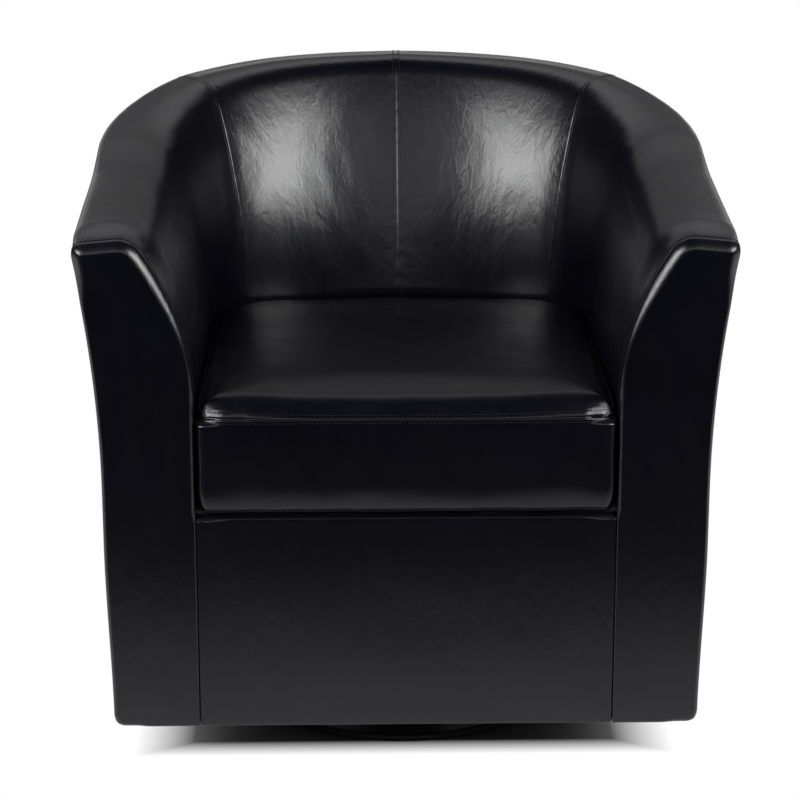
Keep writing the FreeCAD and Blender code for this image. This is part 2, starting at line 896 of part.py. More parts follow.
def ball_track(label):
    track = doc.addObject("Part::Torus", label + "_track")
    track.setExpression("Radius1", "sizes.ball_circle")
    track.setExpression("Radius2", "sizes.ball_radius + sizes.ball_clearance")
    track.setExpression("Placement.Base.z", BALL_PLANE)
    return track


PIN_HOLE = "(sizes.pin_diameter / 2 + sizes.running_fit)"
BUSH_RADIUS = "(sizes.pin_diameter / 2 + sizes.bush_wall)"

lower_blank = turned_body("lower_race_blank", ring_profile(
    PIN_HOLE, "sizes.lower_race_radius", LOWER_RACE_BOTTOM, LOWER_RACE_TOP,
))
keep(cut("lower_race", lower_blank, [ball_track("lower_race")]), "lower_race")

upper_blank = padded_body("upper_race_blank", [
    ("-sizes.upper_race_length / 2", "-sizes.upper_race_width / 2"),
    ("sizes.upper_race_length / 2", "-sizes.upper_race_width / 2"),
    ("sizes.upper_race_length / 2", "sizes.upper_race_width / 2"),
    ("-sizes.upper_race_length / 2", "sizes.upper_race_width / 2"),
], "sizes.race_thickness", RACE_BOTTOM)
upper_tools = bolt_holes("upper_race", (-1, 1), RACE_BOTTOM, "sizes.race_thickness")
upper_tools.append(cylinder("upper_race_eye", ("0", "0", RACE_BOTTOM), BUSH_RADIUS, "sizes.race_thickness"))
upper_tools.append(ball_track("upper_race"))
keep(cut("upper_race", upper_blank, upper_tools), "upper_race")

ball_turns = [math.radians(360 / size("ball_count") * index) for index in range(int(size("ball_count")))]
ball_height = value(BALL_PLANE)
ball_centres = [
    Vector(size("ball_circle") * math.cos(turn), size("ball_circle") * math.sin(turn), ball_height)
    for turn in ball_turns
]
keep_group([Part.makeSphere(size("ball_radius"), centre) for centre in ball_centres], "bearing_balls")

cage_half = size("ball_radius") + size("cage_margin")
cage_bottom = ball_height - size("cage_thickness") / 2
cage = Part.makeCylinder(size("ball_circle") + cage_half, size("cage_thickness"), Vector(0, 0, cage_bottom))
cage = cage.cut(
    Part.makeCylinder(size("ball_circle") - cage_half, size("cage_thickness"), Vector(0, 0, cage_bottom))
)
pocket = size("ball_radius") + size("ball_clearance")
for centre in ball_centres:
    low = Vector(centre.x, centre.y, cage_bottom)
    cage = cage.cut(Part.makeCylinder(pocket, size("cage_thickness"), low))
keep_shape(cage, "ball_cage")

FLANGE_TOP = f"({RACE_TOP} + sizes.bush_flange)"
WASHER_BOTTOM = f"({FLANGE_TOP} + sizes.washer_lift)"
NUT_BOTTOM = f"({WASHER_BOTTOM} + sizes.washer_thickness)"
NUT_TOP = f"({NUT_BOTTOM} + sizes.pin_nut_height)"
keep(
    turned_body("pivot_bush", [
        (PIN_HOLE, RACE_BOTTOM),
        (BUSH_RADIUS, RACE_BOTTOM),
        (BUSH_RADIUS, RACE_TOP),
        ("sizes.bush_flange_radius", RACE_TOP),
        ("sizes.bush_flange_radius", FLANGE_TOP),
        (PIN_HOLE, FLANGE_TOP),
    ]),
    "pivot_bush",
)
washer_profile = ring_profile(PIN_HOLE, "sizes.bush_flange_radius", WASHER_BOTTOM, NUT_BOTTOM)
keep(turned_body("thrust_washer", washer_profile), "thrust_washer")


def hexagon_block(across, height, base):
    """A hexagonal prism, width across its flats, at a base centre."""
    points = []
    for number in range(7):
        turn = math.radians(30 + 60 * number)
        points.append(base + Vector(math.cos(turn), math.sin(turn), 0) * (across / math.sqrt(3)))
    return Part.Face(Part.makePolygon(points)).extrude(Vector(0, 0, height))


pin_radius = size("pin_diameter") / 2
head_bottom = value(LOWER_RACE_BOTTOM) - size("pin_head_height")
pin_top = value(NUT_TOP) + size("bolt_tail")
pin_head = hexagon_block(size("pin_head_across"), size("pin_head_height"), Vector(0, 0, head_bottom))
pin_shank = Part.makeCylinder(pin_radius, pin_top - head_bottom, Vector(0, 0, head_bottom))
keep_shape(pin_head.fuse(pin_shank).removeSplitter(), "king_pin")

pin_nut = hexagon_block(size("pin_head_across"), size("pin_nut_height"), Vector(0, 0, value(NUT_BOTTOM)))
nut_bore = Part.makeCylinder(value(PIN_HOLE), size("pin_nut_height"), Vector(0, 0, value(NUT_BOTTOM)))
keep_shape(pin_nut.cut(nut_bore), "king_pin_nut")


# Swivel bolts through the upper race and the cross rails, with washers and nuts on top

bolt_radius = size("bolt_diameter") / 2
washer_bottom = rail_top
bolt_nut_bottom = washer_bottom + size("bolt_washer_thickness")
bolt_top = bolt_nut_bottom + size("bolt_nut_height") + size("bolt_tail")
race_bottom = value(RACE_BOTTOM)
bolts = []
washers = []
nuts = []
for x_sign in (-1, 1):
    for y_sign in (-1, 1):
        spot = Vector(x_sign * size("bolt_spacing") / 2, y_sign * size("cross_rail_offset"), 0)
        under = spot + Vector(0, 0, race_bottom - size("bolt_head_height"))
        head = hexagon_block(size("bolt_head_across"), size("bolt_head_height"), under)
        shank = Part.makeCylinder(bolt_radius, bolt_top - under.z, under)
        bolts.append(head.fuse(shank).removeSplitter())
        seat = spot + Vector(0, 0, washer_bottom)
        ring = Part.makeCylinder(size("bolt_washer_radius"), size("bolt_washer_thickness"), seat)
        washers.append(ring.cut(Part.makeCylinder(value(BOLT_HOLE), size("bolt_washer_thickness"), seat)))
        top = spot + Vector(0, 0, bolt_nut_bottom)
        block = hexagon_block(size("bolt_head_across"), size("bolt_nut_height"), top)
        bore = Part.makeCylinder(bolt_radius + size("running_fit"), size("bolt_nut_height"), top)
        nuts.append(block.cut(bore))
keep_group(bolts, "plate_bolts")
keep_group(washers, "plate_washers")
keep_group(nuts, "plate_nuts")


# Front rail cover: a padded panel with a rounded front

COVER_HALF = f"({HALF_SEAT} - sizes.soft_gap)"
COVER_FRONT = f"({BOARD_FRONT} - sizes.front_cover_thickness)"
COVER_BACK = f"({BOARD_FRONT} - sizes.soft_gap)"
SPRING_HEIGHT = "(sizes.spring_wire + 2 * sizes.clip_wall)"
CUSHION_BOTTOM = f"(sizes.seat_frame_top + {SPRING_HEIGHT} + sizes.deck_thickness + sizes.soft_gap)"
COVER_HEIGHT = f"({CUSHION_BOTTOM} - sizes.front_cover_gap - sizes.hem_height)"
front_cover = padded_body("front_rail_cover", [
    (f"-{COVER_HALF}", COVER_FRONT),
    (COVER_HALF, COVER_FRONT),
    (COVER_HALF, COVER_BACK),
    (f"-{COVER_HALF}", COVER_BACK),
], COVER_HEIGHT, "sizes.hem_height")
round_edges(front_cover, lambda edge: edge.BoundBox.YMax < value(COVER_FRONT) + gap, "sizes.front_cover_edge")
keep(front_cover, "front_rail_cover")


def check_and_write():
    """Stop if any object failed, then write one file for each sub-part."""
    doc.recompute()
    for piece in doc.Objects:
        if "Invalid" in piece.State or "Error" in piece.State:
            raise RuntimeError(f"{piece.Label} failed: {piece.State}")
    os.makedirs("parts", exist_ok=True)
    for piece in nodes:
        shape = piece.Shape
        if shape.isNull() or not shape.isValid() or shape.Volume <= 0:
            raise RuntimeError(f"{piece.Label} has no valid solid")
        shape.exportStep(f"parts/{piece.Label}.step")
        print(f"{piece.Label}: {len(shape.Solids)} solid(s), {shape.Volume / 1000:.1f} cm3")


check_and_write()
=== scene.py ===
import json
import math
from collections import namedtuple

import bpy
import numpy as np
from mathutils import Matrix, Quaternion, Vector, noise


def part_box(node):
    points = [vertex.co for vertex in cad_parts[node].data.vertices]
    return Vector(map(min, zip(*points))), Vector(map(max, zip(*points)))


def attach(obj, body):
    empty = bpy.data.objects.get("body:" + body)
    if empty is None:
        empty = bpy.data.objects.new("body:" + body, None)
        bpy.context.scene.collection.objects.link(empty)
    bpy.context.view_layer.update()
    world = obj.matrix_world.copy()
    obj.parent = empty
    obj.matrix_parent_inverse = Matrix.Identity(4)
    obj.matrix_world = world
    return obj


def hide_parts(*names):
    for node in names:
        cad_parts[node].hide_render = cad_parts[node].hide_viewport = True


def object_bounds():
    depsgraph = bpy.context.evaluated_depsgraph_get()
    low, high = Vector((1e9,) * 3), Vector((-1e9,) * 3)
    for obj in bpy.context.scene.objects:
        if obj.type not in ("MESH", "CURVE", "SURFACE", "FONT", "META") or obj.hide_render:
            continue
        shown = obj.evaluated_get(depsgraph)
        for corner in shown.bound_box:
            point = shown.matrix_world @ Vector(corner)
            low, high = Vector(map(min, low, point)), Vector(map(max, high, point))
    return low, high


# A tub chair in black leather on a round swivel base. It faces -Y, +Z is up, and lengths are in metres.

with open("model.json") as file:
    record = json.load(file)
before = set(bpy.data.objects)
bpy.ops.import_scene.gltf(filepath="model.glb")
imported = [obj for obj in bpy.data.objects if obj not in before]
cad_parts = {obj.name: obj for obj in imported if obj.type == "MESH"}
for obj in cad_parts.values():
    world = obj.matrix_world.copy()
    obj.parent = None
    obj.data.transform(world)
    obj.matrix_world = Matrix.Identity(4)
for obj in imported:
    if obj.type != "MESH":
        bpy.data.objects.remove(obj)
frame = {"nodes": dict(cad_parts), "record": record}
cad_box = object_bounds()
scene = bpy.context.scene

# Shape of the tub wall: as in the solids, with rounder edges, fuller sides and an earlier climb to the back

FRONT = cad_box[0].y  # face of the arm fronts
HALF_TOP = cad_box[1].x  # outer edge of the arm tops
REAR = cad_box[1].y  # top rear edge
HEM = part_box("outside_back")[0].z
HALF_SEAT = 0.235
SEAT_REAR = 0.181
SEAT_CORNER = 0.8  # roundness of the rear seat corners, 1 is an ellipse
BEND = 0.040  # where the straight sides start to bend round the back
BACK_POWER = 3  # how late in that bend the arms turn into the back
SIDE_FLARE = 0.028  # how far the sides lean out from hem to top
REAR_RAKE = 0.064  # the same in the middle of the back
RAKE_SHARE = 0.5  # part of that rake which is a straight slope
FLARE_FROM = 0.360
ARM_RIM = 0.642  # outer edge of the arm top at the front
SHOULDER_RIM = 0.674
BACK_RIM = 0.742
CLIMB_POWER = 3.4  # how soon the rim climbs from the shoulders to the back
ARM_CROWN = 0.006  # rise of the top from its outer edge to its inner edge
BACK_CROWN = 0.003
ARM_TOP = 0.061  # width of the wall at its top
ARM_FULL = 0.013  # extra width of the arms behind their fronts
ARM_BLEND = 0.09  # length over which they reach it
BACK_TOP = 0.067
ARM_BOW = 0.23  # share of the lean reached half way up
BACK_BOW = 0.42
SHARP_EDGE = 0.016  # rounding of the inner top edge at the arm fronts
ARM_EDGE = 0.044  # and further back, where the padding is rounder
BACK_EDGE = 0.024
OUTER_EDGE = 0.017  # rounding of the outer top edge
LEAN_FROM = 0.465
PAD_FOOT = 0.350  # lower end of the inside covers, behind the cushion
PAD_THICKNESS = 0.032
PAD_HEAD = 0.018  # the same under the top
TOP_PAD = 0.026  # from the top down to the seam with the outside covers
SEAM_TURN = 40  # seams between arms and back
COVER = 0.005
SIDE_SWELL = 0.0055  # fullness of the leather on the sides
SWELL_FULL = 0.300  # height from which it is all there
FACING_SEAM = FRONT + 0.0135  # seam between the arm covers and the arm fronts
CLEARANCE = 0.0006  # between covers that meet
TINY = 1e-12  # keeps a division from zero

Station = namedtuple("Station", "inner outward depth weight rim lean crest bow edge")


def between(low, high, share):
    return low + (high - low) * share


def eased(value, low, high):
    """A smooth step from 0 at low to 1 at high. Low may be the larger of the two."""
    share = np.clip((value - low) / (high - low), 0, 1)
    return share * share * (3 - 2 * share)


def bump(value, centre, width):
    """A smooth hump of height 1."""
    return np.exp(-((value - centre) / width) ** 2)


def unit(vectors):
    """Vectors with their length set to 1."""
    return vectors / np.linalg.norm(vectors, axis=-1, keepdims=True)


def running_length(points):
    """Distance along lines of points from the first row to each row."""
    steps = np.linalg.norm(np.diff(points, axis=0), axis=-1)
    return np.concatenate((np.zeros((1, *steps.shape[1:])), np.cumsum(steps, axis=0)))


def nearest(points, outline):
    """Distance from each point to the nearest point of an outline."""
    return np.linalg.norm(points[:, None, :] - outline[None, :, :], axis=2).min(axis=1)


# Stations: upright planes that cut the wall square. Turn 0 to 90 goes round the back to its middle.
# Below 0 the plane moves forward along the straight side instead, SIDE_STEP for each unit.

SIDE_STEP = 0.004
RIM_SMOOTHING = range(-24, 25, 6)


def turn_of_side(y):
    return (y - BEND) / SIDE_STEP


def raw_rim(turn):
    """Height of the outer top edge before it is smoothed."""
    if turn < 0:
        return between(SHOULDER_RIM, ARM_RIM, turn * SIDE_STEP / (FRONT - BEND))
    climb = min(1.0, turn / 90)
    return SHOULDER_RIM + (BACK_RIM - SHOULDER_RIM) * (1 - (1 - climb) ** CLIMB_POWER)


def station(turn):
    """The station at a turn on the right half of the chair."""
    around = math.radians(max(0.0, min(90.0, turn)))
    cosine = max(0.0, math.cos(around))
    sine = math.sin(around)
    slide = min(0.0, turn) * SIDE_STEP
    inner = np.array((HALF_SEAT * cosine ** SEAT_CORNER, BEND + (SEAT_REAR - BEND) * sine ** SEAT_CORNER))
    outer = np.array((HALF_TOP * cosine, BEND + (REAR - BEND) * sine))
    depth = np.linalg.norm(outer - inner)
    weight = sine ** BACK_POWER
    rim = np.mean([raw_rim(turn + shift) for shift in RIM_SMOOTHING])
    outward = (outer - inner) / depth
    inner[1] += slide
    behind = eased(inner[1], FRONT, FRONT + ARM_BLEND)
    arm_top = ARM_TOP + ARM_FULL * behind
    return Station(
        inner, outward, depth, weight, rim,
        lean=depth - between(arm_top, BACK_TOP, weight),
        crest=rim + between(ARM_CROWN, BACK_CROWN, weight),
        bow=between(ARM_BOW, BACK_BOW, weight),
        edge=between(SHARP_EDGE, between(ARM_EDGE, BACK_EDGE, weight), behind),
    )


def outer_reach(st, height):
    """Reach of the outside face of the wall at a height."""
    lean = between(SIDE_FLARE, REAR_RAKE, st.weight)
    slope = RAKE_SHARE * st.weight
    rise = (height - HEM) / (st.rim - HEM)
    flare = np.maximum(0, (height - FLARE_FROM) / (st.rim - FLARE_FROM)) ** 2
    swell = SIDE_SWELL * (1 - st.weight) * eased(height, HEM, SWELL_FULL)
    return st.depth - lean * (1 - between(flare, rise, slope)) + swell


def line(start, end, t):
    return np.outer(1 - t, start) + np.outer(t, end)


def bend(start, corner, end, t):
    """A smooth curve from start to end, drawn towards a corner."""
    return np.outer((1 - t) ** 2, start) + np.outer(2 * t * (1 - t), corner) + np.outer(t * t, end)


def section(st, stops):
    """Points (reach, height) up the inside face and over the top.

    Stops 0 to 1 are the upright foot, 1 to 2 the leaning face, 2 to 3 the inner edge, 3 to 4 the top,
    4 to 5 the outer edge and 5 to 6 the lip above the outside cover.
    """
    foot = np.array((0.0, PAD_FOOT))
    start = np.array((0.0, LEAN_FROM))
    corner = np.array((st.lean, st.crest))
    pull = np.array(((2 * st.bow - 0.5) * st.lean, (LEAN_FROM + st.crest) / 2))
    cut = 1 - st.edge / np.linalg.norm(corner - start)
    outer_corner = np.array((outer_reach(st, st.rim), st.rim))
    across = unit(outer_corner - corner)
    face_end = bend(start, pull, corner, np.array((cut,)))[0]
    top_start = corner + across * st.edge
    top_end = outer_corner - across * OUTER_EDGE
    drop = st.rim - OUTER_EDGE
    side = np.array((outer_reach(st, drop), drop))
    lip = np.array((outer_reach(st, st.rim - TOP_PAD), st.rim - TOP_PAD))
    runs = (
        lambda t: line(foot, start, t),
        lambda t: bend(start, pull, corner, t * cut),
        lambda t: bend(face_end, corner, top_start, t),
        lambda t: line(top_start, top_end, t),
        lambda t: bend(top_end, outer_corner, side, t),
        lambda t: line(side, lip, t),
    )
    number = np.minimum(stops.astype(int), len(runs) - 1)
    points = np.zeros((len(stops), 2))
    for index, run in enumerate(runs):
        chosen = number == index
        points[chosen] = run(stops[chosen] - index)
    return points


def placed(st, flat):
    """Turn (reach, height) points of a station into points in space."""
    return np.column_stack((st.inner + np.outer(flat[:, 0], st.outward), flat[:, 1]))


def stops_with(*counts):
    """Stops along a section, with a number of steps in each of its runs."""
    parts = [index + np.arange(count) / count for index, count in enumerate(counts)]
    return np.concatenate(parts + [[len(counts)]])


def clustered(start, end, count, closeness):
    """Values from start to end that lie closer together near both ends."""
    share = np.linspace(0, 1, count)
    share = share - closeness * np.sin(2 * math.pi * share) / (2 * math.pi)
    return between(start, end, share)


# Distance along the wall from the seam at the arm front, measured in the middle of the wall

ALL_TURNS = np.linspace(turn_of_side(FACING_SEAM), 90, 1500)
middle_line = np.array([st.inner + st.outward * st.depth / 2 for st in map(station, ALL_TURNS)])
ALL_DISTANCES = running_length(middle_line)
SEAM_DISTANCE = np.interp(SEAM_TURN, ALL_TURNS, ALL_DISTANCES)
MIDDLE_DISTANCE = ALL_DISTANCES[-1]


def stations_at(distances):
    """Stations at distances along the right half; past the middle they are on the left half."""
    found = []
    for distance in distances:
        half = min(distance, 2 * MIDDLE_DISTANCE - distance)
        st = station(np.interp(half, ALL_DISTANCES, ALL_TURNS))
        if distance > MIDDLE_DISTANCE:
            st = st._replace(inner=st.inner * (-1, 1), outward=st.outward * (-1, 1))
        found.append(st)
    return found


# Meshes

def link(name, data):
    obj = bpy.data.objects.new(name, data)
    scene.collection.objects.link(obj)
    return obj


def mesh_object(name, points, faces):
    mesh = bpy.data.meshes.new(name)
    mesh.from_pydata([tuple(point) for point in points], [], faces)
    mesh.polygons.foreach_set("use_smooth", [True] * len(mesh.polygons))
    mesh.update()
    return link(name, mesh)


def quads(rows, columns, ring):
    """Faces of a grid of points; a ring also joins the last column to the first."""
    steps = [(column, (column + 1) % columns) for column in range(columns if ring else columns - 1)]
    starts = [(row * columns, (row + 1) * columns) for row in range(rows - 1)]
    return [(here + a, here + b, there + b, there + a) for here, there in starts for a, b in steps]


def loft(name, loops):
    """A closed solid through closed loops of points, with a face over each end, facing outwards."""
    rows, columns = loops.shape[:2]
    faces = quads(rows, columns, ring=True)
    last = (rows - 1) * columns
    faces += [tuple(reversed(range(columns))), tuple(range(last, last + columns))]
    obj = mesh_object(name, loops.reshape(-1, 3), faces)
    corners = loops[:-1], np.roll(loops[:-1], -1, axis=1), np.roll(loops[1:], -1, axis=1), loops[1:]
    first, second, third, fourth = (corner - loops.mean(axis=(0, 1)) for corner in corners)
    volume = (np.cross(first, second) * third).sum() + (np.cross(first, third) * fourth).sum()
    if volume < 0:
        obj.data.flip_normals()
    return obj


def normals_of(grid, ring=False):
    """Unit normals of a grid of points."""
    down = np.gradient(grid, axis=0)
    if ring:
        across = (np.roll(grid, -1, axis=1) - np.roll(grid, 1, axis=1)) / 2
    else:
        across = np.gradient(grid, axis=1)
    normal = np.cross(across, down)
    return normal / np.maximum(np.linalg.norm(normal, axis=2, keepdims=True), TINY)


EVEN = (1, 1, 1)


def ripple(grid, size, stretch=EVEN, seed=0.0):
    """Smooth noise between -1 and 1 at each point of a grid."""
    spots = grid.reshape(-1, 3) / (size * np.array(stretch)) + seed
    return np.array([noise.noise(Vector(spot)) for spot in spots]).reshape(grid.shape[:2])


def ripples(grid, *layers):
    """The sum of layers of noise, each given as its height and then what ripple takes."""
    return sum(height * ripple(grid, *rest) for height, *rest in layers)


def resampled(field, row_index, column_index):
    """A smooth curve through a field of vectors, read at fractional rows and columns."""
    for axis, index in ((0, row_index), (1, column_index)):
        count = field.shape[axis]
        whole = np.clip(np.floor(index).astype(int), 0, count - 2)
        share = (index - whole).reshape((-1, 1, 1) if axis == 0 else (1, -1, 1))
        near = [np.take(field, np.clip(whole + step, 0, count - 1), axis=axis) for step in (-1, 0, 1, 2)]
        slope = (near[2] - near[0]) / 2
        next_slope = (near[3] - near[1]) / 2
        rise = near[2] - near[1]
        field = near[1] + share * (slope + share * (3 * rise - 2 * slope - next_slope
                                                    + share * (slope + next_slope - 2 * rise)))
    return field


# Cloth simulation

CLOTH_FRAMES = 20
CLOTH_SETTINGS = {
    "vertex_group_mass": "pinned",
    "use_pressure": True,
    "quality": 6,
    "tension_stiffness": 12,
    "compression_stiffness": 12,
    "bending_stiffness": 8,
}


def billow(points, pinned, furthest, pressure, tight=0.0, ring=False):
    """Let leather swell over its padding, drawn tight by a share of its length.

    Pinned points stay. Returns how far the others move.
    """
    rows, columns = points.shape[:2]
    obj = mesh_object("billow", points.reshape(-1, 3), quads(rows, columns, ring))
    group = obj.vertex_groups.new(name="pinned")
    group.add(np.flatnonzero(pinned).tolist(), 1.0, "ADD")
    cloth = obj.modifiers.new("cloth", "CLOTH")
    for key, value in CLOTH_SETTINGS.items():
        setattr(cloth.settings, key, value)
    cloth.settings.uniform_pressure_force = pressure
    cloth.settings.effector_weights.gravity = 0
    cloth.settings.shrink_min = tight
    cloth.point_cache.frame_start = 1
    cloth.point_cache.frame_end = CLOTH_FRAMES
    for number in range(1, CLOTH_FRAMES + 1):
        scene.frame_set(number)
    shaped = obj.evaluated_get(bpy.context.evaluated_depsgraph_get()).data
    result = np.zeros(rows * columns * 3)
    shaped.vertices.foreach_get("co", result)
    mesh = obj.data
    bpy.data.objects.remove(obj)
    bpy.data.meshes.remove(mesh)
    scene.frame_set(1)
    move = result.reshape(points.shape) - points
    length = np.linalg.norm(move, axis=2, keepdims=True)
    move = move * furthest * np.tanh(length / furthest) / np.maximum(length, TINY)
    return calmed(move, ring)


def calmed(field, ring, passes=8):
    """Smooth a field of moves; its first and last rows, and columns if no ring, stay as they are."""
    for _ in range(passes):
        around = field.copy()
        around[1:-1] = (field[:-2] + field[2:] + 2 * field[1:-1]) / 4
        across = (np.roll(around, 1, axis=1) + np.roll(around, -1, axis=1) + 2 * around) / 4
        if not ring:
            across[:, [0, -1]] = around[:, [0, -1]]
        field = across
    return field


# Seams and stitches

SEAM_DEPTH = 0.0008
WALL_SEAM = 0.0003  # depth of the seams between the arms and the back
FLAT_SEAM = 0.00005  # and of a seam pressed flat between two lines of stitches
SEAM_WIDTH = 0.0009
STITCH_LINE = 0.0044  # topstitching beside a seam
STITCH_DIP = 0.0001  # how far the thread pulls the leather in
STITCH_DIP_WIDTH = 0.0011
FOLD_PLACE = STITCH_LINE * 0.55
FOLD_RISE = 0.00015  # leather that lies double beside a seam
FOLD_WIDTH = 0.0018
STITCH_LENGTH = 0.0022
STITCH_PITCH = 0.0040
STITCH_RADIUS = 0.00060
STITCH_LIFT = 0.35  # rise of a stitch in its middle, in radii
STITCH_SINK = 0.8  # drop from there to its ends
STITCH_PROFILE = ((-0.5, 0.15), (-0.42, 0.75), (-0.2, 1.0), (0.2, 1.0), (0.42, 0.75), (0.5, 0.15))
STITCH_SIDES = 6
STITCH_TURNS = np.linspace(0, 2 * math.pi, STITCH_SIDES, endpoint=False)
STITCH_FACES = quads(len(STITCH_PROFILE), STITCH_SIDES, ring=True)
STITCH_LAST = len(STITCH_PROFILE) * STITCH_SIDES
STITCH_FACES += [tuple(reversed(range(STITCH_SIDES))), tuple(range(STITCH_LAST - STITCH_SIDES, STITCH_LAST))]


def seam_shape(distance, stitched=True, depth=SEAM_DEPTH):
    """Height of a panel beside its seam: a dip, a fold over the seam allowance and a stitched line."""
    height = -depth * bump(distance, 0, SEAM_WIDTH)
    if stitched:
        height = height + FOLD_RISE * bump(distance, FOLD_PLACE, FOLD_WIDTH)
        height = height - STITCH_DIP * bump(distance, STITCH_LINE, STITCH_DIP_WIDTH)
    return height


def stitch_row(points, normals):
    """The points of each stitch in a row along a line that lies on a surface."""
    along = running_length(points)

    def at(distance, values):
        return np.array([np.interp(distance, along, values[:, axis]) for axis in range(3)])

    stitches = []
    for middle in np.arange(STITCH_PITCH, along[-1] - STITCH_PITCH, STITCH_PITCH):
        centre = at(middle, points)
        ahead = unit(at(middle + STITCH_LENGTH / 2, points) - at(middle - STITCH_LENGTH / 2, points))
        up = at(middle, normals)
        up = unit(up - ahead * np.dot(up, ahead))
        across = np.cross(ahead, up)
        stitch = []
        for share, width in STITCH_PROFILE:
            lift = STITCH_RADIUS * (STITCH_LIFT - STITCH_SINK * (2 * share) ** 4)
            core = centre + ahead * share * STITCH_LENGTH + up * lift
            for turn in STITCH_TURNS:
                around = across * math.cos(turn) + up * math.sin(turn)
                stitch.append(core + around * STITCH_RADIUS * width)
        stitches.append(stitch)
    return stitches


def stitching(name, lines):
    """One object with a row of stitches along each of some lines, given as (points, normals)."""
    verts = []
    faces = []
    for points, normals in lines:
        for stitch in stitch_row(points, normals):
            faces += [tuple(len(verts) + index for index in face) for face in STITCH_FACES]
            verts += stitch
    return mesh_object(name, verts, faces)


# Materials

DARK_LEATHER = (0.0010, 0.0010, 0.0038)
LIGHT_LEATHER = (0.0018, 0.0018, 0.0056)


def dress(tree, node, **values):
    """Set or link a node's inputs by name, and set its other values as attributes."""
    for key, value in values.items():
        label = key.replace("_", " ")
        if label not in node.inputs:
            setattr(node, key, value)
        elif isinstance(value, bpy.types.NodeSocket):
            tree.links.new(value, node.inputs[label])
        else:
            node.inputs[label].default_value = value
    return node


def add(tree, kind, **values):
    return dress(tree, tree.nodes.new("ShaderNode" + kind), **values)


def material(name, **values):
    """A new material; returns it with its node tree, its shader and the place on the object."""
    made = bpy.data.materials.new(name)
    made.use_nodes = True
    tree = made.node_tree
    shader = dress(tree, tree.nodes["Principled BSDF"], **values)
    return made, tree, shader, add(tree, "TexCoord").outputs["Object"]


def pattern(tree, where, kind="Noise", **values):
    """The value of a noise or Voronoi texture at a place."""
    node = add(tree, "Tex" + kind, Vector=where, **values)
    return node.outputs["Fac" if kind == "Noise" else "Distance"]


def scaled(tree, where, scale):
    """A place with its axes scaled."""
    return add(tree, "Mapping", Vector=where, Scale=scale).outputs["Vector"]


def split(tree, vector):
    """The X, Y and Z of a vector."""
    return add(tree, "SeparateXYZ", Vector=vector).outputs


def ranged(tree, value, low, high, start=0.0, end=1.0):
    """A value that goes from low to high while another goes from start to end."""
    node = add(tree, "MapRange", Value=value, From_Min=start, From_Max=end, To_Min=low, To_Max=high)
    return node.outputs["Result"]


def colour_ramp(tree, value, low, high, start=0.0, end=1.0):
    """A colour that goes from one to another while a value goes from start to end."""
    ramp = add(tree, "ValToRGB", Fac=value)
    for element, position, colour in zip(ramp.color_ramp.elements, (start, end), (low, high)):
        element.position = position
        element.color = (*colour, 1)
    return ramp.outputs["Color"]


def combined(tree, operation, first, *others):
    """Values taken together by a maths operation, one after the other."""
    for other in others:
        node = add(tree, "Math", operation=operation)
        tree.links.new(first, node.inputs[0])
        tree.links.new(other, node.inputs[1])
        first = node.outputs["Value"]
    return first


def product(tree, *values):
    return combined(tree, "MULTIPLY", *values)


def largest(tree, *values):
    return combined(tree, "MAXIMUM", *values)


def bumped(tree, shader, layers):
    """Chain bump layers, given as (height, distance, strength), into a shader's normals."""
    before = {}
    for height, distance, strength in layers:
        node = add(tree, "Bump", Height=height, Distance=distance, Strength=strength, **before)
        before = {"Normal": node.outputs["Normal"]}
    dress(tree, shader, Coat_Normal=before["Normal"], **before)


def leather(name, crackle, coat, coat_roughness, flat_coat=None, flat_from=0.0, flat_to=1.0):
    """Coated leather with grain and creases. Its coat may differ where it lies flat."""
    made, tree, shader, where = material(
        name, Specular_IOR_Level=0.14, Coat_Weight=coat, Coat_Roughness=coat_roughness,
    )
    if flat_coat is not None:
        upward = split(tree, add(tree, "NewGeometry").outputs["Normal"])["Z"]
        dress(tree, shader, Coat_Weight=ranged(tree, upward, coat, flat_coat, flat_from, flat_to))
    drawn = scaled(tree, where, (1.0, 1.0, 0.4))
    soft = pattern(tree, drawn, Scale=55.0, Detail=4.0, Roughness=0.55)
    creases = pattern(tree, drawn, Scale=120.0, Detail=3.0, Distortion=0.6)
    patches = pattern(tree, where, Scale=14.0, Detail=3.0)
    pores = pattern(tree, where, "Voronoi", Scale=260.0, feature="F1")
    grain = pattern(tree, where, "Voronoi", Scale=620.0, feature="DISTANCE_TO_EDGE")
    dress(
        tree, shader,
        Base_Color=colour_ramp(tree, patches, DARK_LEATHER, LIGHT_LEATHER, 0.3, 0.7),
        Roughness=ranged(tree, soft, 0.36, 0.46, 0.3, 0.7),
    )
    bumped(tree, shader, (
        (soft, 0.0012, 0.07),
        (creases, 0.0010, crackle),
        (pores, 0.0006, 0.04),
        (ranged(tree, grain, 0.0, 1.0, 0.0, 0.25), 0.0003, 0.06),
    ))
    return made


def fabric(name, dark, light, scale, roughness=0.95):
    """Cloth, felt, thread or rubber, with fibres or cells of a scale."""
    made, tree, shader, where = material(name, Roughness=roughness, Specular_IOR_Level=0.2)
    fibres = pattern(tree, where, Scale=scale, Detail=6.0, Roughness=0.7)
    cells = pattern(tree, where, "Voronoi", Scale=scale * 0.8)
    dress(tree, shader, Base_Color=colour_ramp(tree, fibres, dark, light, 0.3, 0.75))
    bumped(tree, shader, ((fibres, 0.0008, 0.5), (cells, 0.0005, 0.4)))
    return made


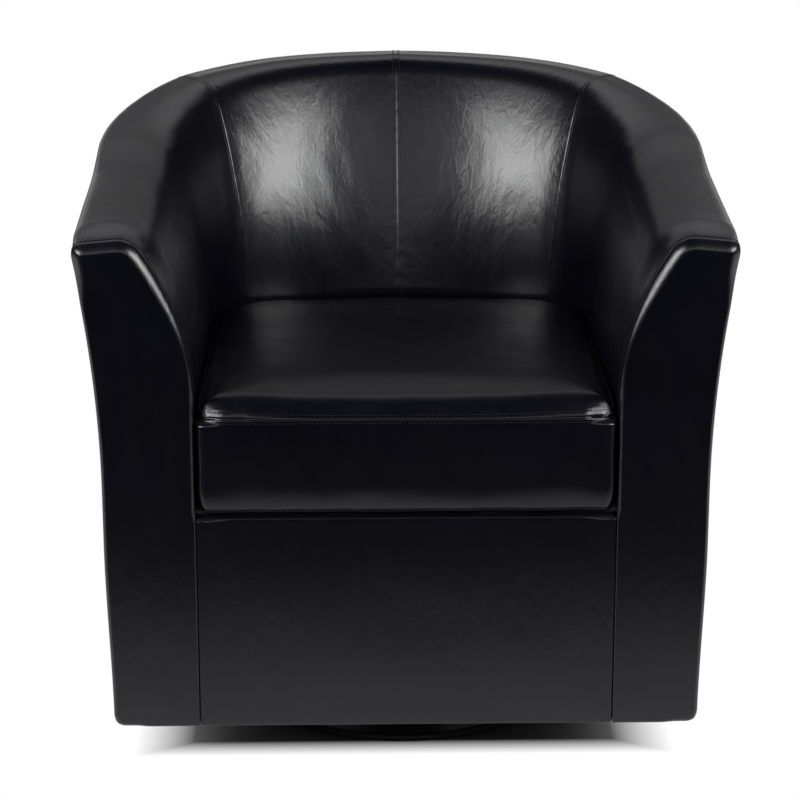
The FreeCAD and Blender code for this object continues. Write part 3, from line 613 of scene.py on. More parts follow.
def metal(name, dark, light, rough_low, rough_high, metallic, scale):
    """Steel, bare or painted, or hard plastic, with cloudy wear in its colour and roughness."""
    made, tree, shader, where = material(name, Metallic=metallic)
    clouds = pattern(tree, where, Scale=scale, Detail=5.0, Roughness=0.6)
    specks = pattern(tree, where, Scale=900.0, Detail=2.0)
    dress(
        tree, shader,
        Base_Color=colour_ramp(tree, clouds, dark, light, 0.3, 0.7),
        Roughness=ranged(tree, clouds, rough_low, rough_high, 0.3, 0.7),
    )
    bumped(tree, shader, ((specks, 0.0002, 0.25),))
    return made


def wood(name, dark, light):
    """Wood with its grain along the X axis."""
    made, tree, shader, where = material(name, Roughness=0.6)
    rings = pattern(tree, scaled(tree, where, (18, 90, 90)), Scale=1.0, Detail=6.0, Distortion=1.2)
    dress(tree, shader, Base_Color=colour_ramp(tree, rings, dark, light, 0.35, 0.65))
    bumped(tree, shader, ((rings, 0.0006, 0.3),))
    return made


LEATHER = leather("black_leather", 0.34, 0.95, 0.20)
ARM_LEATHER = leather("arm_leather", 0.15, 0.16, 0.19, flat_coat=0.95, flat_from=0.40, flat_to=0.70)
SEAT_LEATHER = leather("seat_leather", 0.15, 0.95, 0.19, flat_coat=0.20, flat_from=0.80, flat_to=0.97)
MATERIALS = {
    "black_leather": LEATHER,
    "base_steel": metal("base_steel", (0.02, 0.02, 0.022), (0.035, 0.035, 0.038), 0.30, 0.42, 0.0, 25.0),
    "zinc_steel": metal("zinc_steel", (0.45, 0.45, 0.46), (0.62, 0.62, 0.63), 0.28, 0.45, 1.0, 60.0),
    "ball_steel": metal("ball_steel", (0.62, 0.62, 0.64), (0.75, 0.75, 0.77), 0.08, 0.16, 1.0, 80.0),
    "nylon": metal("nylon", (0.68, 0.66, 0.60), (0.78, 0.76, 0.70), 0.40, 0.55, 0.0, 40.0),
    "floor_rubber": fabric("floor_rubber", (0.018, 0.018, 0.018), (0.035, 0.035, 0.035), 700.0, 0.85),
    "dust_cloth": fabric("dust_cloth", (0.012, 0.012, 0.013), (0.035, 0.035, 0.037), 900.0),
    "felt": fabric("felt", (0.26, 0.25, 0.23), (0.42, 0.40, 0.36), 500.0),
    "webbing": fabric("webbing", (0.22, 0.19, 0.15), (0.36, 0.32, 0.26), 800.0),
    "frame_wood": wood("frame_wood", (0.50, 0.34, 0.20), (0.68, 0.50, 0.32)),
}
THREAD = fabric("thread", (0.006, 0.006, 0.008), (0.03, 0.03, 0.034), 3000.0, 0.35)


def finish_piece(obj, *nodes, slot="black_leather", fill=None, look=None):
    """Give a piece its material, let it ride on the chair, and hide the solids it stands for."""
    obj.data.materials.clear()
    obj.data.materials.append(look or MATERIALS[slot])
    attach(obj, "chair")
    if nodes:
        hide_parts(*nodes)


# Inside covers: arms and the two halves of the back

SIDES = {"right": 1, "left": -1}
FINE_STOPS = stops_with(16, 84, 20, 12, 8, 8)
COARSE_STOPS = stops_with(6, 26, 4, 4, 3, 2)
COARSE_STEP = 0.0075
SEWN_STOPS = (FINE_STOPS > 0.2) & (FINE_STOPS < 4.8)
LIP_DIP = 0.0015  # how far the lip tucks in above the outside cover
LIP_WIDTH = 0.25  # in stops
CALM_WIDTH = 0.03  # beside a seam the waves fade out over this width
PUCKER_REACH = 0.010  # and puckers reach this far
INSIDE_PUCKERS = (0.0003, 0.011)
INSIDE_WAVES = (0.0006, 0.085)
STREAKS = ((0.00035, 0.030, (0.8, 0.8, 1.8), 7.0), (0.00008, 0.011, (1, 1, 3), 4.0))
STREAKS_END = (2.2, 1.6)  # stops between which the streaks fade in, down from the top
ARM_STREAKS = 0.4  # share of the streaks on the arms
ARM_DOME = 0.007  # rise of the middle of the arm tops behind their fronts
DOME_FRONT = (0.004, 0.045)  # distances from the front seam between which it comes
DOME_REAR = (0.03, 0.22)  # distances from the rear seam between which it goes


def wall_grid(stations, stops):
    return np.array([placed(st, section(st, stops)) for st in stations])


def swelling(start, end, furthest, pressure, tight):
    """How the leather between two seams swells, as a field over coarse distances and stops."""
    coarse = np.linspace(start, end, int(round((end - start) / COARSE_STEP)) + 1)
    grid = wall_grid(stations_at(coarse), COARSE_STOPS)
    pinned = np.ones(grid.shape[:2], bool)
    pinned[1:-1, 1:-1] = False
    return billow(grid, pinned, furthest, pressure, tight)


def over_top(grid):
    """0 at both edges of the top of the wall and 1 in its middle."""
    along = running_length(grid.transpose(1, 0, 2)).T
    start = along[:, np.searchsorted(FINE_STOPS, 2)][:, None]
    end = along[:, np.searchsorted(FINE_STOPS, 5)][:, None]
    return np.sin(math.pi * np.clip((along - start) / (end - start), 0, 1))


def inside_cover(name, field, distances, side, depths, first_stitched=False, domed=False):
    """A closed padded cover between two seams, with its lines of topstitching."""
    stations = stations_at(distances)
    rows = np.interp(distances, (distances[0], distances[-1]), (0, field.shape[0] - 1))
    columns = np.interp(FINE_STOPS, COARSE_STOPS, np.arange(len(COARSE_STOPS)))
    grid = (wall_grid(stations, FINE_STOPS) + resampled(field, rows, columns)) * (side, 1, 1)
    normal = normals_of(grid) * side
    from_first = (distances - distances[0])[:, None]
    from_last = (distances[-1] - distances)[:, None]
    from_seam = np.minimum(from_first, from_last)
    height = seam_shape(from_first, first_stitched, depths[0]) + seam_shape(from_last, True, depths[1])
    height = height - LIP_DIP * bump(FINE_STOPS, 6, LIP_WIDTH)
    height = height + ripples(grid, INSIDE_PUCKERS) * np.exp(-from_seam / PUCKER_REACH)
    streaks = ripples(grid, *STREAKS) * eased(FINE_STOPS, *STREAKS_END) * (ARM_STREAKS if domed else 1)
    height = height + (ripples(grid, INSIDE_WAVES) + streaks) * eased(from_seam, 0.0, CALM_WIDTH)
    if domed:
        ends = eased(from_first, *DOME_FRONT) * eased(from_last, *DOME_REAR)
        height = height + ARM_DOME * ends * over_top(grid)
    grid = grid + normal * height[:, :, None]
    loops = []
    for st, row in zip(stations, grid):
        back = placed(st, np.array(((st.lean + PAD_HEAD, st.rim - TOP_PAD), (PAD_THICKNESS, PAD_FOOT))))
        loops.append(np.vstack((row, back * (side, 1, 1))))
    obj = loft(name, np.array(loops))
    lines = []
    for distance in (from_first, from_last) if first_stitched else (from_last,):
        row = int(np.argmin(np.abs(distance - STITCH_LINE)))
        lines.append((grid[row, SEWN_STOPS], normal[row, SEWN_STOPS]))
    return obj, lines


arm_distances = clustered(0, SEAM_DISTANCE, 170, 0.8)
back_distances = clustered(SEAM_DISTANCE, MIDDLE_DISTANCE, 110, 0.75)
arm_field = swelling(0, SEAM_DISTANCE, furthest=0.0025, pressure=2.0, tight=0.006)
back_field = swelling(SEAM_DISTANCE, MIDDLE_DISTANCE, furthest=0.002, pressure=1.0, tight=0.008)
for hand, side in SIDES.items():
    arm, arm_lines = inside_cover(
        f"arm_cover_{hand}", arm_field, arm_distances, side, (SEAM_DEPTH, WALL_SEAM),
        first_stitched=True, domed=True,
    )
    finish_piece(arm, f"inside_arm_{hand}", fill=0.85, look=ARM_LEATHER)
    back, back_lines = inside_cover(
        f"back_cover_{hand}", back_field, back_distances, side, (WALL_SEAM, FLAT_SEAM),
    )
    finish_piece(back, f"inside_back_{hand}", fill=0.8)
    finish_piece(stitching(f"wall_stitches_{hand}", arm_lines + back_lines), look=THREAD)


# Outside covers

OUTSIDE_STEPS = 70
HEM_ROUND = 0.012  # rounding of the lower edge
HEM_STEPS = 8
HEM_TURN = 0.022  # leather turned under the frame
TURNED_LOW = 0.0028  # its faces above the hem
TURNED_HIGH = 0.0037
LINING_FROM = 0.02  # lower end of the inner face above the hem
LINING_STEPS = 24
TOP_SEAM = 0.6  # depth of the top seam, as a share of the others
OUTSIDE_PUCKERS = (0.0005, 0.012)
OUTSIDE_REACH = 0.008  # reach of those puckers
OUTSIDE_WAVES = ((0.0012, 0.11), (0.0003, 0.03, (1, 1, 2.5), 3.0))


def outside_cover(name, distances, side, node):
    """A leather cover from the seam under the top down to the hem, turned under the frame."""
    rows = []
    shares = clustered(0, 1, OUTSIDE_STEPS, 0.8)
    low = HEM + HEM_ROUND
    for st in stations_at(distances):
        top = st.rim - TOP_PAD - CLEARANCE
        heights = between(top, low, shares)
        outside = np.column_stack((outer_reach(st, heights), heights))
        foot = outer_reach(st, low)
        hem = bend((foot, low), (foot, HEM), (foot - HEM_ROUND, HEM), np.linspace(0, 1, HEM_STEPS + 1)[1:])
        under = np.array((
            (foot - COVER - HEM_TURN, HEM + TURNED_LOW),
            (foot - COVER - HEM_TURN, HEM + TURNED_HIGH),
            (foot - COVER - CLEARANCE, HEM + TURNED_HIGH),
        ))
        back_heights = np.linspace(HEM + LINING_FROM, top, LINING_STEPS)
        inside = np.column_stack((outer_reach(st, back_heights) - COVER, back_heights))
        rows.append(placed(st, np.vstack((outside, hem, under, inside))))
    grid = np.array(rows) * (side, 1, 1)
    face = grid[:, :OUTSIDE_STEPS]
    normal = normals_of(face) * side
    ends = np.minimum(distances - distances[0], distances[-1] - distances)[:, None]
    drop = shares * (grid[0, 0, 2] - HEM)
    height = seam_shape(ends, False) + seam_shape(drop, False) * TOP_SEAM
    height = height + eased(np.minimum(ends, drop), 0.0, CALM_WIDTH) * ripples(face, *OUTSIDE_WAVES)
    height = height + ripples(face, OUTSIDE_PUCKERS) * np.exp(-ends / OUTSIDE_REACH)
    grid[:, :OUTSIDE_STEPS] = face + normal * height[:, :, None]
    finish_piece(loft(name, grid), node, fill=0.95)


arm_outside = clustered(CLEARANCE, SEAM_DISTANCE, 130, 0.7)
back_outside = clustered(SEAM_DISTANCE, 2 * MIDDLE_DISTANCE - SEAM_DISTANCE, 170, 0.7)
for hand, side in SIDES.items():
    outside_cover(f"side_cover_{hand}", arm_outside, side, f"outside_arm_{hand}")
outside_cover("rear_cover", back_outside, 1, "outside_back")


# Flat padded panels: the arm fronts and the cover of the front rail

OUTLINE_STEP = 0.005
FOLDED = 0.985  # an inset point nearer than this share of its inset lies in a fold
ROLL_POWER = 1.4  # 1 rolls an edge as a quarter circle, more makes it flatter
ROLL_STEPS = 16
REAR_BEVEL = 0.0012
REAR_STEPS = (0.0004, 0.0016)  # depths of the bevel at the rear edge
FULL_WIDTH = 0.06  # distance from the edge at which a panel is at its fullest
PANEL_SHARES = (0.06, 0.14, 0.25, 0.38, 0.52, 0.66, 0.80, 0.92, 0.985)


def inset_outline(outline, inset):
    """A closed outline moved inwards; folds that this makes at tight corners are closed up."""
    along = unit(np.roll(outline, -1, axis=0) - np.roll(outline, 1, axis=0))
    moved = outline + np.column_stack((-along[:, 1], along[:, 0])) * np.reshape(inset, (-1, 1))
    good = nearest(moved, outline) >= inset * FOLDED
    index = np.arange(len(outline))
    for axis in range(2):
        moved[:, axis] = np.interp(index, index[good], moved[good, axis], period=len(outline))
    return moved


def panel(name, outline, face_y, roll, spine, thickness, bulge, seed):
    """A padded panel over an outline in (x, z), with a rolled front edge and a slightly full face."""
    loops = []

    def ring(flat, y):
        loops.append(np.column_stack((flat[:, 0], np.broadcast_to(y, len(flat)), flat[:, 1])))

    rear = face_y + thickness
    ring(inset_outline(outline, roll * 0.5), rear)
    ring(inset_outline(outline, REAR_BEVEL), rear - REAR_STEPS[0])
    ring(outline, rear - REAR_STEPS[1])
    for turn in np.radians(np.linspace(0, 90, ROLL_STEPS)):
        inset = 1 - max(0.0, math.cos(turn)) ** ROLL_POWER
        ring(inset_outline(outline, roll * inset), face_y + roll * (1 - math.sin(turn) ** ROLL_POWER))
    edge = loops[-1][:, [0, 2]]
    for share in PANEL_SHARES:
        flat = between(edge, spine(edge), share)
        ring(flat, face_y - bulge * eased(nearest(flat, outline), 0.0, FULL_WIDTH))
    grid = np.array(loops)
    rolled = len(loops) - len(PANEL_SHARES)
    free = np.r_[np.zeros(rolled), np.linspace(0.1, 1, len(PANEL_SHARES))]
    wave = ripples(grid, (0.0008, 0.09, EVEN, seed), (0.0002, 0.024, (1, 1, 2.0), seed))
    grid[:, :, 1] += wave * free[:, None]
    return loft(name, grid)


FACING_ROLL = 0.012
FACING_FOOT = 0.014  # rounding of the outer lower corner
FACING_FOOT_INNER = 0.003
FACING_STOPS = stops_with(1, 40, 10, 14, 10)[1:-1]
front_st = station(turn_of_side(FRONT))


def facing_outline():
    """Outline of the right arm front, up its inner edge, over the top and down its outer edge."""
    foot = HEM + FACING_FOOT
    inner_foot = HEM + FACING_FOOT_INNER
    inner_heights = np.arange(inner_foot, LEAN_FROM, OUTLINE_STEP)
    inner_edge = np.column_stack((np.zeros(len(inner_heights)), inner_heights))
    over = section(front_st, FACING_STOPS)
    heights = np.arange(front_st.rim - OUTER_EDGE, foot, -OUTLINE_STEP)
    outer_edge = np.column_stack((outer_reach(front_st, heights), heights))
    heel = outer_reach(front_st, foot)
    corner = bend((heel, foot), (heel, HEM), (heel - FACING_FOOT, HEM), np.linspace(0, 1, 8))
    bottom = line((heel - FACING_FOOT, HEM), (FACING_FOOT_INNER, HEM), np.linspace(0, 1, 20)[1:-1])
    inner_corner = bend((FACING_FOOT_INNER, HEM), (0, HEM), (0, inner_foot), np.linspace(0, 1, 4)[:-1])
    flat = np.vstack((inner_edge, over, outer_edge, corner, bottom, inner_corner))
    return flat + (HALF_SEAT, 0)


def facing_roll(edge):
    """Size of the rolled edge: tight beside the front cover, and smaller at the foot and the sides."""
    reach = np.abs(edge[:, 0])
    height = edge[:, 1]
    beside = eased(reach, HALF_SEAT + 0.008, HALF_SEAT + 0.003) * eased(height, 0.345, 0.320)
    foot = eased(height, HEM + 0.014, HEM + 0.004)
    inner = eased(reach, HALF_SEAT + 0.075, HALF_SEAT + 0.055) * eased(height, 0.610, 0.510)
    outer = eased(reach, HALF_SEAT + 0.085, HALF_SEAT + 0.095) * eased(height, 0.612, 0.565)
    roll = FACING_ROLL * between(1, 0.12, beside) * between(1, 0.4, foot * (1 - beside))
    return roll * between(1, 0.4, inner * (1 - beside)) * between(1, 0.35, outer * (1 - foot))


def facing_spine(edge):
    """The middle line of an arm front, for each point of its edge."""
    heights = np.clip(edge[:, 1], HEM + 0.05, front_st.rim - 0.04)
    lean = section(front_st, 1 + np.linspace(0, 1, 60))
    inner = np.interp(heights, lean[:, 1], lean[:, 0])
    middle = HALF_SEAT + (inner + outer_reach(front_st, heights)) / 2
    return np.column_stack((np.sign(edge[:, 0]) * middle, heights))


for hand, side in SIDES.items():
    shape = (facing_outline() * (side, 1))[::-side]
    facing = panel(
        f"arm_facing_{hand}", shape, FRONT, facing_roll(shape), facing_spine,
        thickness=0.0155, bulge=0.0008, seed=2.0 + side,
    )
    finish_piece(facing, f"arm_front_{hand}", fill=0.85)

cover_low, cover_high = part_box("front_rail_cover")
cushion_low, cushion_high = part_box("seat_cushion")
COVER_CORNER = 0.004
COVER_GAP = 0.0002  # to the arm fronts at each side
COVER_PROUD = 0.0022  # how far the padding stands in front of the solid
COVER_SPINE = 0.13  # half the length of its middle line
COVER_ROLL = 0.0012
COVER_TOP_ROLL = 0.0050  # the same at the ends of the top edge


def cover_outline():
    """Rounded rectangle of the front rail cover."""
    left, right = cover_low.x + COVER_GAP, cover_high.x - COVER_GAP
    corners = np.array(((right, HEM), (right, cover_high.z), (left, cover_high.z), (left, HEM)))
    points = []
    for before, corner, after in zip(np.roll(corners, 1, axis=0), corners, np.roll(corners, -1, axis=0)):
        start = corner + unit(before - corner) * COVER_CORNER
        on = unit(after - corner)
        points.append(bend(start, corner, corner + on * COVER_CORNER, np.linspace(0, 1, 6)))
        length = np.linalg.norm(after - corner)
        steps = np.arange(COVER_CORNER + OUTLINE_STEP, length - COVER_CORNER - 0.002, OUTLINE_STEP)
        points.append(corner + np.outer(steps, on))
    return np.vstack(points)


def cover_spine(edge):
    middle = (HEM + cover_high.z) / 2
    return np.column_stack((np.clip(edge[:, 0], -COVER_SPINE, COVER_SPINE), np.full(len(edge), middle)))


def cover_roll(edge):
    """Rounded along the top, most at its corners, and tight beside the arm fronts."""
    top = between(COVER_ROLL, COVER_TOP_ROLL, eased(np.abs(edge[:, 0]), 0.19, 0.225))
    return between(COVER_ROLL, top, eased(edge[:, 1], cover_high.z - 0.004, cover_high.z - 0.001))


front_outline = cover_outline()
front_cover = panel(
    "front_cover", front_outline, cover_low.y - COVER_PROUD, cover_roll(front_outline), cover_spine,
    thickness=0.0115, bulge=0.0010, seed=9.0,
)
finish_piece(front_cover, "front_rail_cover", fill=0.9)


def deck_edge():
    """Leather folded over the front edge of the deck, seen in the gap below the cushion."""
    low_z, high_z = cover_high.z - 0.0012, cushion_low.z - 0.0002
    front, back = cover_low.y + 0.0065, cover_high.y + 0.0002
    middle = np.array(((front + back) / 2, (low_z + high_z) / 2))
    half = np.array(((back - front) / 2, (high_z - low_z) / 2))
    turns = np.linspace(0, 2 * math.pi, 20, endpoint=False)
    around = np.column_stack((np.cos(turns), np.sin(turns)))
    square = np.sign(around) * np.abs(around) ** 0.6
    loops = []
    for x in np.linspace(cover_low.x + CLEARANCE, cover_high.x - CLEARANCE, 90):
        sway = 0.0007 * noise.noise(Vector((x / 0.04, 0.0, 4.0)))
        flat = middle + square * half + (sway, 0)
        loops.append(np.column_stack((np.full(len(flat), x), flat)))
    return loft("deck_edge", np.array(loops))


finish_piece(deck_edge())


# Seat cushion

CUSHION_GAP = 0.0010
CUSHION_FRONT = cushion_low.y
CUSHION_BOTTOM = cushion_low.z
CUSHION_SEAM = 0.445
CUSHION_SEAM_DEPTH = 0.0012
CUSHION_RISE = cushion_high.z - CUSHION_SEAM
EDGE_RISE = 0.017  # steep part of that rise, next to the seam
EDGE_WIDTH = 0.028
DOME_WIDTH = 0.12  # width of the gentle rest
CUSHION_CORNER = 0.012
PUFF = 0.0036  # extra fullness of the edge towards the corners
PUFF_WIDTH = 0.0042
CORNER_DRAW = 0.012  # how far the top seam draws back at the front corners
CORNER_DROP = 0.0015  # and down
CORNER_WIDTH = 0.042  # over this width
TUCK = 0.008  # how far the lower edge draws in
TUCK_HEIGHT = 0.034
LOWER_SEAM = 0.0045  # height of the lower seam above the bottom
LOWER_SEAM_DEPTH = 0.0010
LOWER_SWAY = (0.0016, 0.045, EVEN, 6.0)
SWAY_DOWN = 0.0003  # the lower edge sways up, and no further down than this
CUSHION_WAVES = ((0.0012, 0.09, EVEN, 3.0), (0.0003, 0.03, EVEN, 8.0))
SIDE_PUCKERS = 0.0018  # puckers of the top seam towards its corners
FRONT_PUCKERS = 0.0004  # and in the middle of its front
TOP_INSETS = np.array((0.0006, 0.0014, 0.0024, 0.0036, 0.005, 0.0065, 0.0085, 0.011, 0.014, 0.018, 0.023))
TOP_SHARES = np.linspace(0, 0.975, 34)[1:]
UNDER_SHARES = (0.97, 0.6, 0.25)
LOWEST_TUCKS = np.r_[1.0, 0.985, np.linspace(0.97, 0.88, 12)]
TUCK_SHARES = np.r_[LOWEST_TUCKS, np.linspace(0.85, 0, 11)]
BORDER_SHARES = 1 - (1 - np.linspace(0, 1, 34)[1:]) ** 1.8
BORDER_HEIGHTS = between(CUSHION_BOTTOM + TUCK_HEIGHT, CUSHION_SEAM, BORDER_SHARES)


def seat_outline(inset):
    """Outline of the cushion in plan, from the middle of its front round the right side and back again."""
    front = CUSHION_FRONT + inset
    side = HALF_SEAT - CUSHION_GAP - inset
    start = (side - CUSHION_CORNER, front)
    end = (side, front + CUSHION_CORNER)
    edge = line((0, front), start, np.linspace(0, 1, 56)[:-1])
    corner = bend(start, (side, front), end, np.linspace(0, 1, 18)[:-1])
    flank = line(end, (side, BEND), clustered(0, 1, 44, 0.3)[:-1])
    rear = [st.inner - st.outward * (CUSHION_GAP + inset) for st in map(station, np.linspace(0, 90, 46))]
    right = np.vstack((edge, corner, flank, rear))
    left = right[-2:0:-1] * (-1, 1)
    return np.vstack((right, left))


def seat_spine(points):
    """The middle line of the cushion, from front to rear, for each of some points."""
    return np.column_stack((np.zeros(len(points)), np.clip(points[:, 1], -0.16, 0.02)))


def crown(flat):
    """Height of the top over points in plan: a steep edge beside the seam and a gentle dome."""
    whole = seat_outline(0.0)
    rest = whole[whole[:, 1] > CUSHION_FRONT + CUSHION_CORNER]

    def rise(from_edge, width):
        return np.sin(math.pi / 2 * np.clip(from_edge / width, 0, 1))

    puffed = eased(np.abs(flat[:, 0]), 0.10, 0.20)
    inset = nearest(flat, whole)
    edge = EDGE_RISE * rise(inset, EDGE_WIDTH) + PUFF * puffed * np.clip(inset / PUFF_WIDTH, 0, 1)
    dome = rise(flat[:, 1] - CUSHION_FRONT, DOME_WIDTH) * rise(nearest(flat, rest), DOME_WIDTH)
    return CUSHION_SEAM + edge + (CUSHION_RISE - EDGE_RISE) * dome


def drawn_back(grid):
    """The cushion with its front corners drawn back beside the top seam."""
    at_corner = np.clip((np.abs(grid[:, :, 0]) - HALF_SEAT + CORNER_WIDTH) / CORNER_WIDTH, 0, 1) ** 1.5
    above = grid[:, :, 2] - CUSHION_SEAM
    near_seam = np.where(above < 0, eased(-above, 0.009, 0.001), eased(above, 0.028, 0.004))
    at_front = eased(grid[:, :, 1], CUSHION_FRONT + 0.060, CUSHION_FRONT + 0.015)
    share = at_corner * near_seam * at_front
    return grid + share[:, :, None] * (0, CORNER_DRAW, -CORNER_DROP)


def cushion_loops():
    """Loops from the underside over the border and the top seam to the middle of the crown."""
    loops = []

    def ring(flat, heights):
        loops.append(np.column_stack((flat, np.broadcast_to(heights, len(flat)))))

    under = seat_outline(TUCK)
    for share in UNDER_SHARES:
        ring(between(under, seat_spine(under), share), CUSHION_BOTTOM)
    ring(seat_outline(TUCK - 0.002), CUSHION_BOTTOM + 0.0006)
    for share in TUCK_SHARES:
        inset = (TUCK - 0.0035) * share ** 2.5
        ring(seat_outline(inset), between(CUSHION_BOTTOM + TUCK_HEIGHT, CUSHION_BOTTOM + 0.0025, share))
    for height in BORDER_HEIGHTS:
        ring(seat_outline(0.0), height)
    for inset in TOP_INSETS:
        flat = seat_outline(inset)
        ring(flat, crown(flat))
    last = seat_outline(TOP_INSETS[-1])
    target = seat_spine(last)
    for share in TOP_SHARES:
        flat = between(last, target, share)
        ring(flat, crown(flat))
    return drawn_back(np.array(loops))


def make_cushion():
    """The cushion, swollen by the simulation and then sewn, with its lines of topstitching."""
    grid = cushion_loops()
    lower = len(UNDER_SHARES) + len(LOWEST_TUCKS)
    seam = len(UNDER_SHARES) + len(TUCK_SHARES) + len(BORDER_HEIGHTS)
    first_top = len(grid) - len(TOP_SHARES)
    rows = np.unique(np.r_[0:first_top:3, first_top:len(grid):2, lower, seam, len(grid) - 1])
    coarse = grid[rows][:, ::2]
    pinned = np.zeros(coarse.shape[:2], bool)
    pinned[rows <= lower] = True
    pinned[(rows >= seam) & (rows <= seam + 4)] = True
    field = billow(coarse, pinned, furthest=0.006, pressure=4.0, ring=True)
    field = np.concatenate((field[:, -2:], field, field[:, :2]), axis=1)
    row_index = np.interp(np.arange(len(grid)), rows, np.arange(len(rows)))
    grid = grid + resampled(field, row_index, 2 + np.arange(grid.shape[1]) / 2)
    normal = normals_of(grid, ring=True)
    length = running_length(grid)
    from_seam = np.abs(length - length[seam])
    from_lower = np.abs(grid[:, :, 2] - CUSHION_BOTTOM - LOWER_SEAM)
    on_side = np.arange(len(grid))[:, None] >= len(UNDER_SHARES)
    height = seam_shape(from_seam, depth=CUSHION_SEAM_DEPTH)
    height = height + seam_shape(from_lower, False, LOWER_SEAM_DEPTH) * on_side
    near_corner = eased(np.abs(grid[:, :, 0]), 0.08, 0.22)
    puckers = between(FRONT_PUCKERS, SIDE_PUCKERS, near_corner) * ripple(grid, 0.014, (1, 1, 2.2))
    height = height + puckers * np.exp(-from_seam / PUCKER_REACH)
    free = eased(np.minimum(from_seam, from_lower), 0.0, CALM_WIDTH)
    height = height + free * ripples(grid, *CUSHION_WAVES)
    sway = ripples(grid * (1, 1, 0), LOWER_SWAY) * eased(from_lower, CALM_WIDTH, 0.0)
    grid = grid + normal * height[:, :, None]
    grid[:, :, 2] += np.maximum(sway, -SWAY_DOWN) * on_side
    obj = loft("seat_pad", grid)
    above = seam + int(np.argmin(np.abs(length[seam:, 0] - length[seam, 0] - STITCH_LINE)))
    below = int(np.argmin(np.abs(length[seam, 0] - length[:seam, 0] - STITCH_LINE)))
    closed = list(range(grid.shape[1])) + [0]
    return obj, [(grid[row, closed], normal[row, closed]) for row in (above, below)]


cushion, cushion_lines = make_cushion()
finish_piece(cushion, "seat_cushion", fill=0.8, look=SEAT_LEATHER)
finish_piece(stitching("cushion_stitches", cushion_lines), look=THREAD)


# Dust cover under the frame

dust_low, dust_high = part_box("dust_cover")
plate_low, plate_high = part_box("upper_race")
WINDOW_MARGIN = 0.008
DUST_INSET = 0.0083  # from the outside covers
DUST_LIFT = 0.0006
DUST_SAG = 0.0012
DUST_WAVE = 0.0006
RAY_SLACK = 1e-6  # lets a ray meet a corner of an outline


def ray_reach(edge, ray):
    """Where a ray from the origin leaves a closed outline."""
    furthest = 0.0
    for start, end in zip(edge, np.roll(edge, -1, axis=0)):
        side = end - start
        cross = ray[0] * side[1] - ray[1] * side[0]
        if abs(cross) > TINY:
            reach = (start[0] * side[1] - start[1] * side[0]) / cross
            share = (start[0] * ray[1] - start[1] * ray[0]) / cross
            if -RAY_SLACK <= share <= 1 + RAY_SLACK:
                furthest = max(furthest, reach)
    return furthest


def dust_sheet():
    """A sheet between the window for the swivel and the outer edge, sagging a little between its staples."""
    window = np.array((plate_high.x + WINDOW_MARGIN, plate_high.y + WINDOW_MARGIN))
    right = [np.array((dust_high.x, dust_low.y)), np.array((dust_high.x, BEND))]
    for st in map(station, np.linspace(4, 90, 30)):
        right.append(st.inner + st.outward * (outer_reach(st, HEM) - COVER - DUST_INSET))
    edge = np.vstack((right, np.array(right)[::-1] * (-1, 1)))
    rays = []
    for turn in np.linspace(0, 2 * math.pi, 240, endpoint=False):
        ray = np.array((math.cos(turn), math.sin(turn)))
        rays.append((ray, (window / np.maximum(np.abs(ray), TINY)).min(), ray_reach(edge, ray)))
    loops = []
    for share in np.linspace(0, 1, 16):
        ring = []
        for ray, inner, reach in rays:
            sag = DUST_SAG * 4 * share * (1 - share)
            spot = Vector((*(ray * reach * share / 0.05), 1.0))
            wave = DUST_WAVE * noise.noise(spot) * eased(share, 0, 0.3)
            ring.append((*(ray * between(inner, reach, share)), dust_low.z + DUST_LIFT - sag + wave))
        loops.append(ring)
    grid = np.array(loops)
    return mesh_object("dust_sheet", grid.reshape(-1, 3), quads(*grid.shape[:2], ring=True))


dust = dust_sheet()
finish_piece(dust, "dust_cover", slot="dust_cloth")


def front_hem():
    """Leather of the arm fronts and the front cover, turned under the frame as far as the dust cover."""
    half = HALF_SEAT + outer_reach(front_st, HEM) - COVER - HEM_TURN
    front, back = FRONT + 0.0140, dust_low.y - 0.0004
    low, high = dust_high.z - 0.0010, dust_high.z - 0.0001
    corner = back - 0.0004
    loops = []
    for x in np.linspace(-half, half, 60):
        sway = 0.0004 * noise.noise(Vector((x / 0.03, 2.0, 0.0)))
        fold = (back + sway, (low + high) / 2)
        flat = np.array(((front, low), (corner, low), fold, (corner, high), (front, high)))
        loops.append(np.column_stack((np.full(len(flat), x), flat)))
    return loft("front_hem", np.array(loops))


finish_piece(front_hem())

# Materials of the solids

slot_of = {part["node"]: part["material_slot"] for part in frame["record"]["subparts"]}
for node, obj in frame["nodes"].items():
    obj.data.materials.clear()
    obj.data.materials.append(MATERIALS[slot_of[node]])


# Floor, light and camera

FLOOR_HALF = 12.0
# painted shade: the floor's colour in front of the chair, where the lamplight is taken to fall off
FLOOR_PAINTED_SHADE = (0.02, 0.02, 0.02)
FLOOR_PALE = (0.86, 0.86, 0.86)
SHADOW_SIDE = (0.25, 0.32)  # the floor shows its shadow, deepened by painted shade, as far as these limits
SHADOW_FRONT = (-0.175, -0.215)
SHADOW_REAR = (0.20, 0.32)
SEAT_SPOT = (0.0, 0.0, 0.5)  # where the lamps aim
LAMP_SPOT = (2.05, -1.2, 1.78)
LAMP_ROLL = math.radians(-28)
CORE_NEARER = 0.98  # the bright core of a softbox hangs in front of it


def cleared_tree(owner):
    """The emptied node tree of a material or a world."""
    owner.use_nodes = True
    owner.node_tree.nodes.clear()
    return owner.node_tree


def absolute(tree, value):
    node = add(tree, "Math", operation="ABSOLUTE")
    tree.links.new(value, node.inputs[0])
    return node.outputs["Value"]


def mixed(tree, share, first, second):
    """The outputs of two shader nodes mixed by a share of the second."""
    node = add(tree, "MixShader", Fac=share)
    tree.links.new(first.outputs[0], node.inputs[1])
    tree.links.new(second.outputs[0], node.inputs[2])
    return node


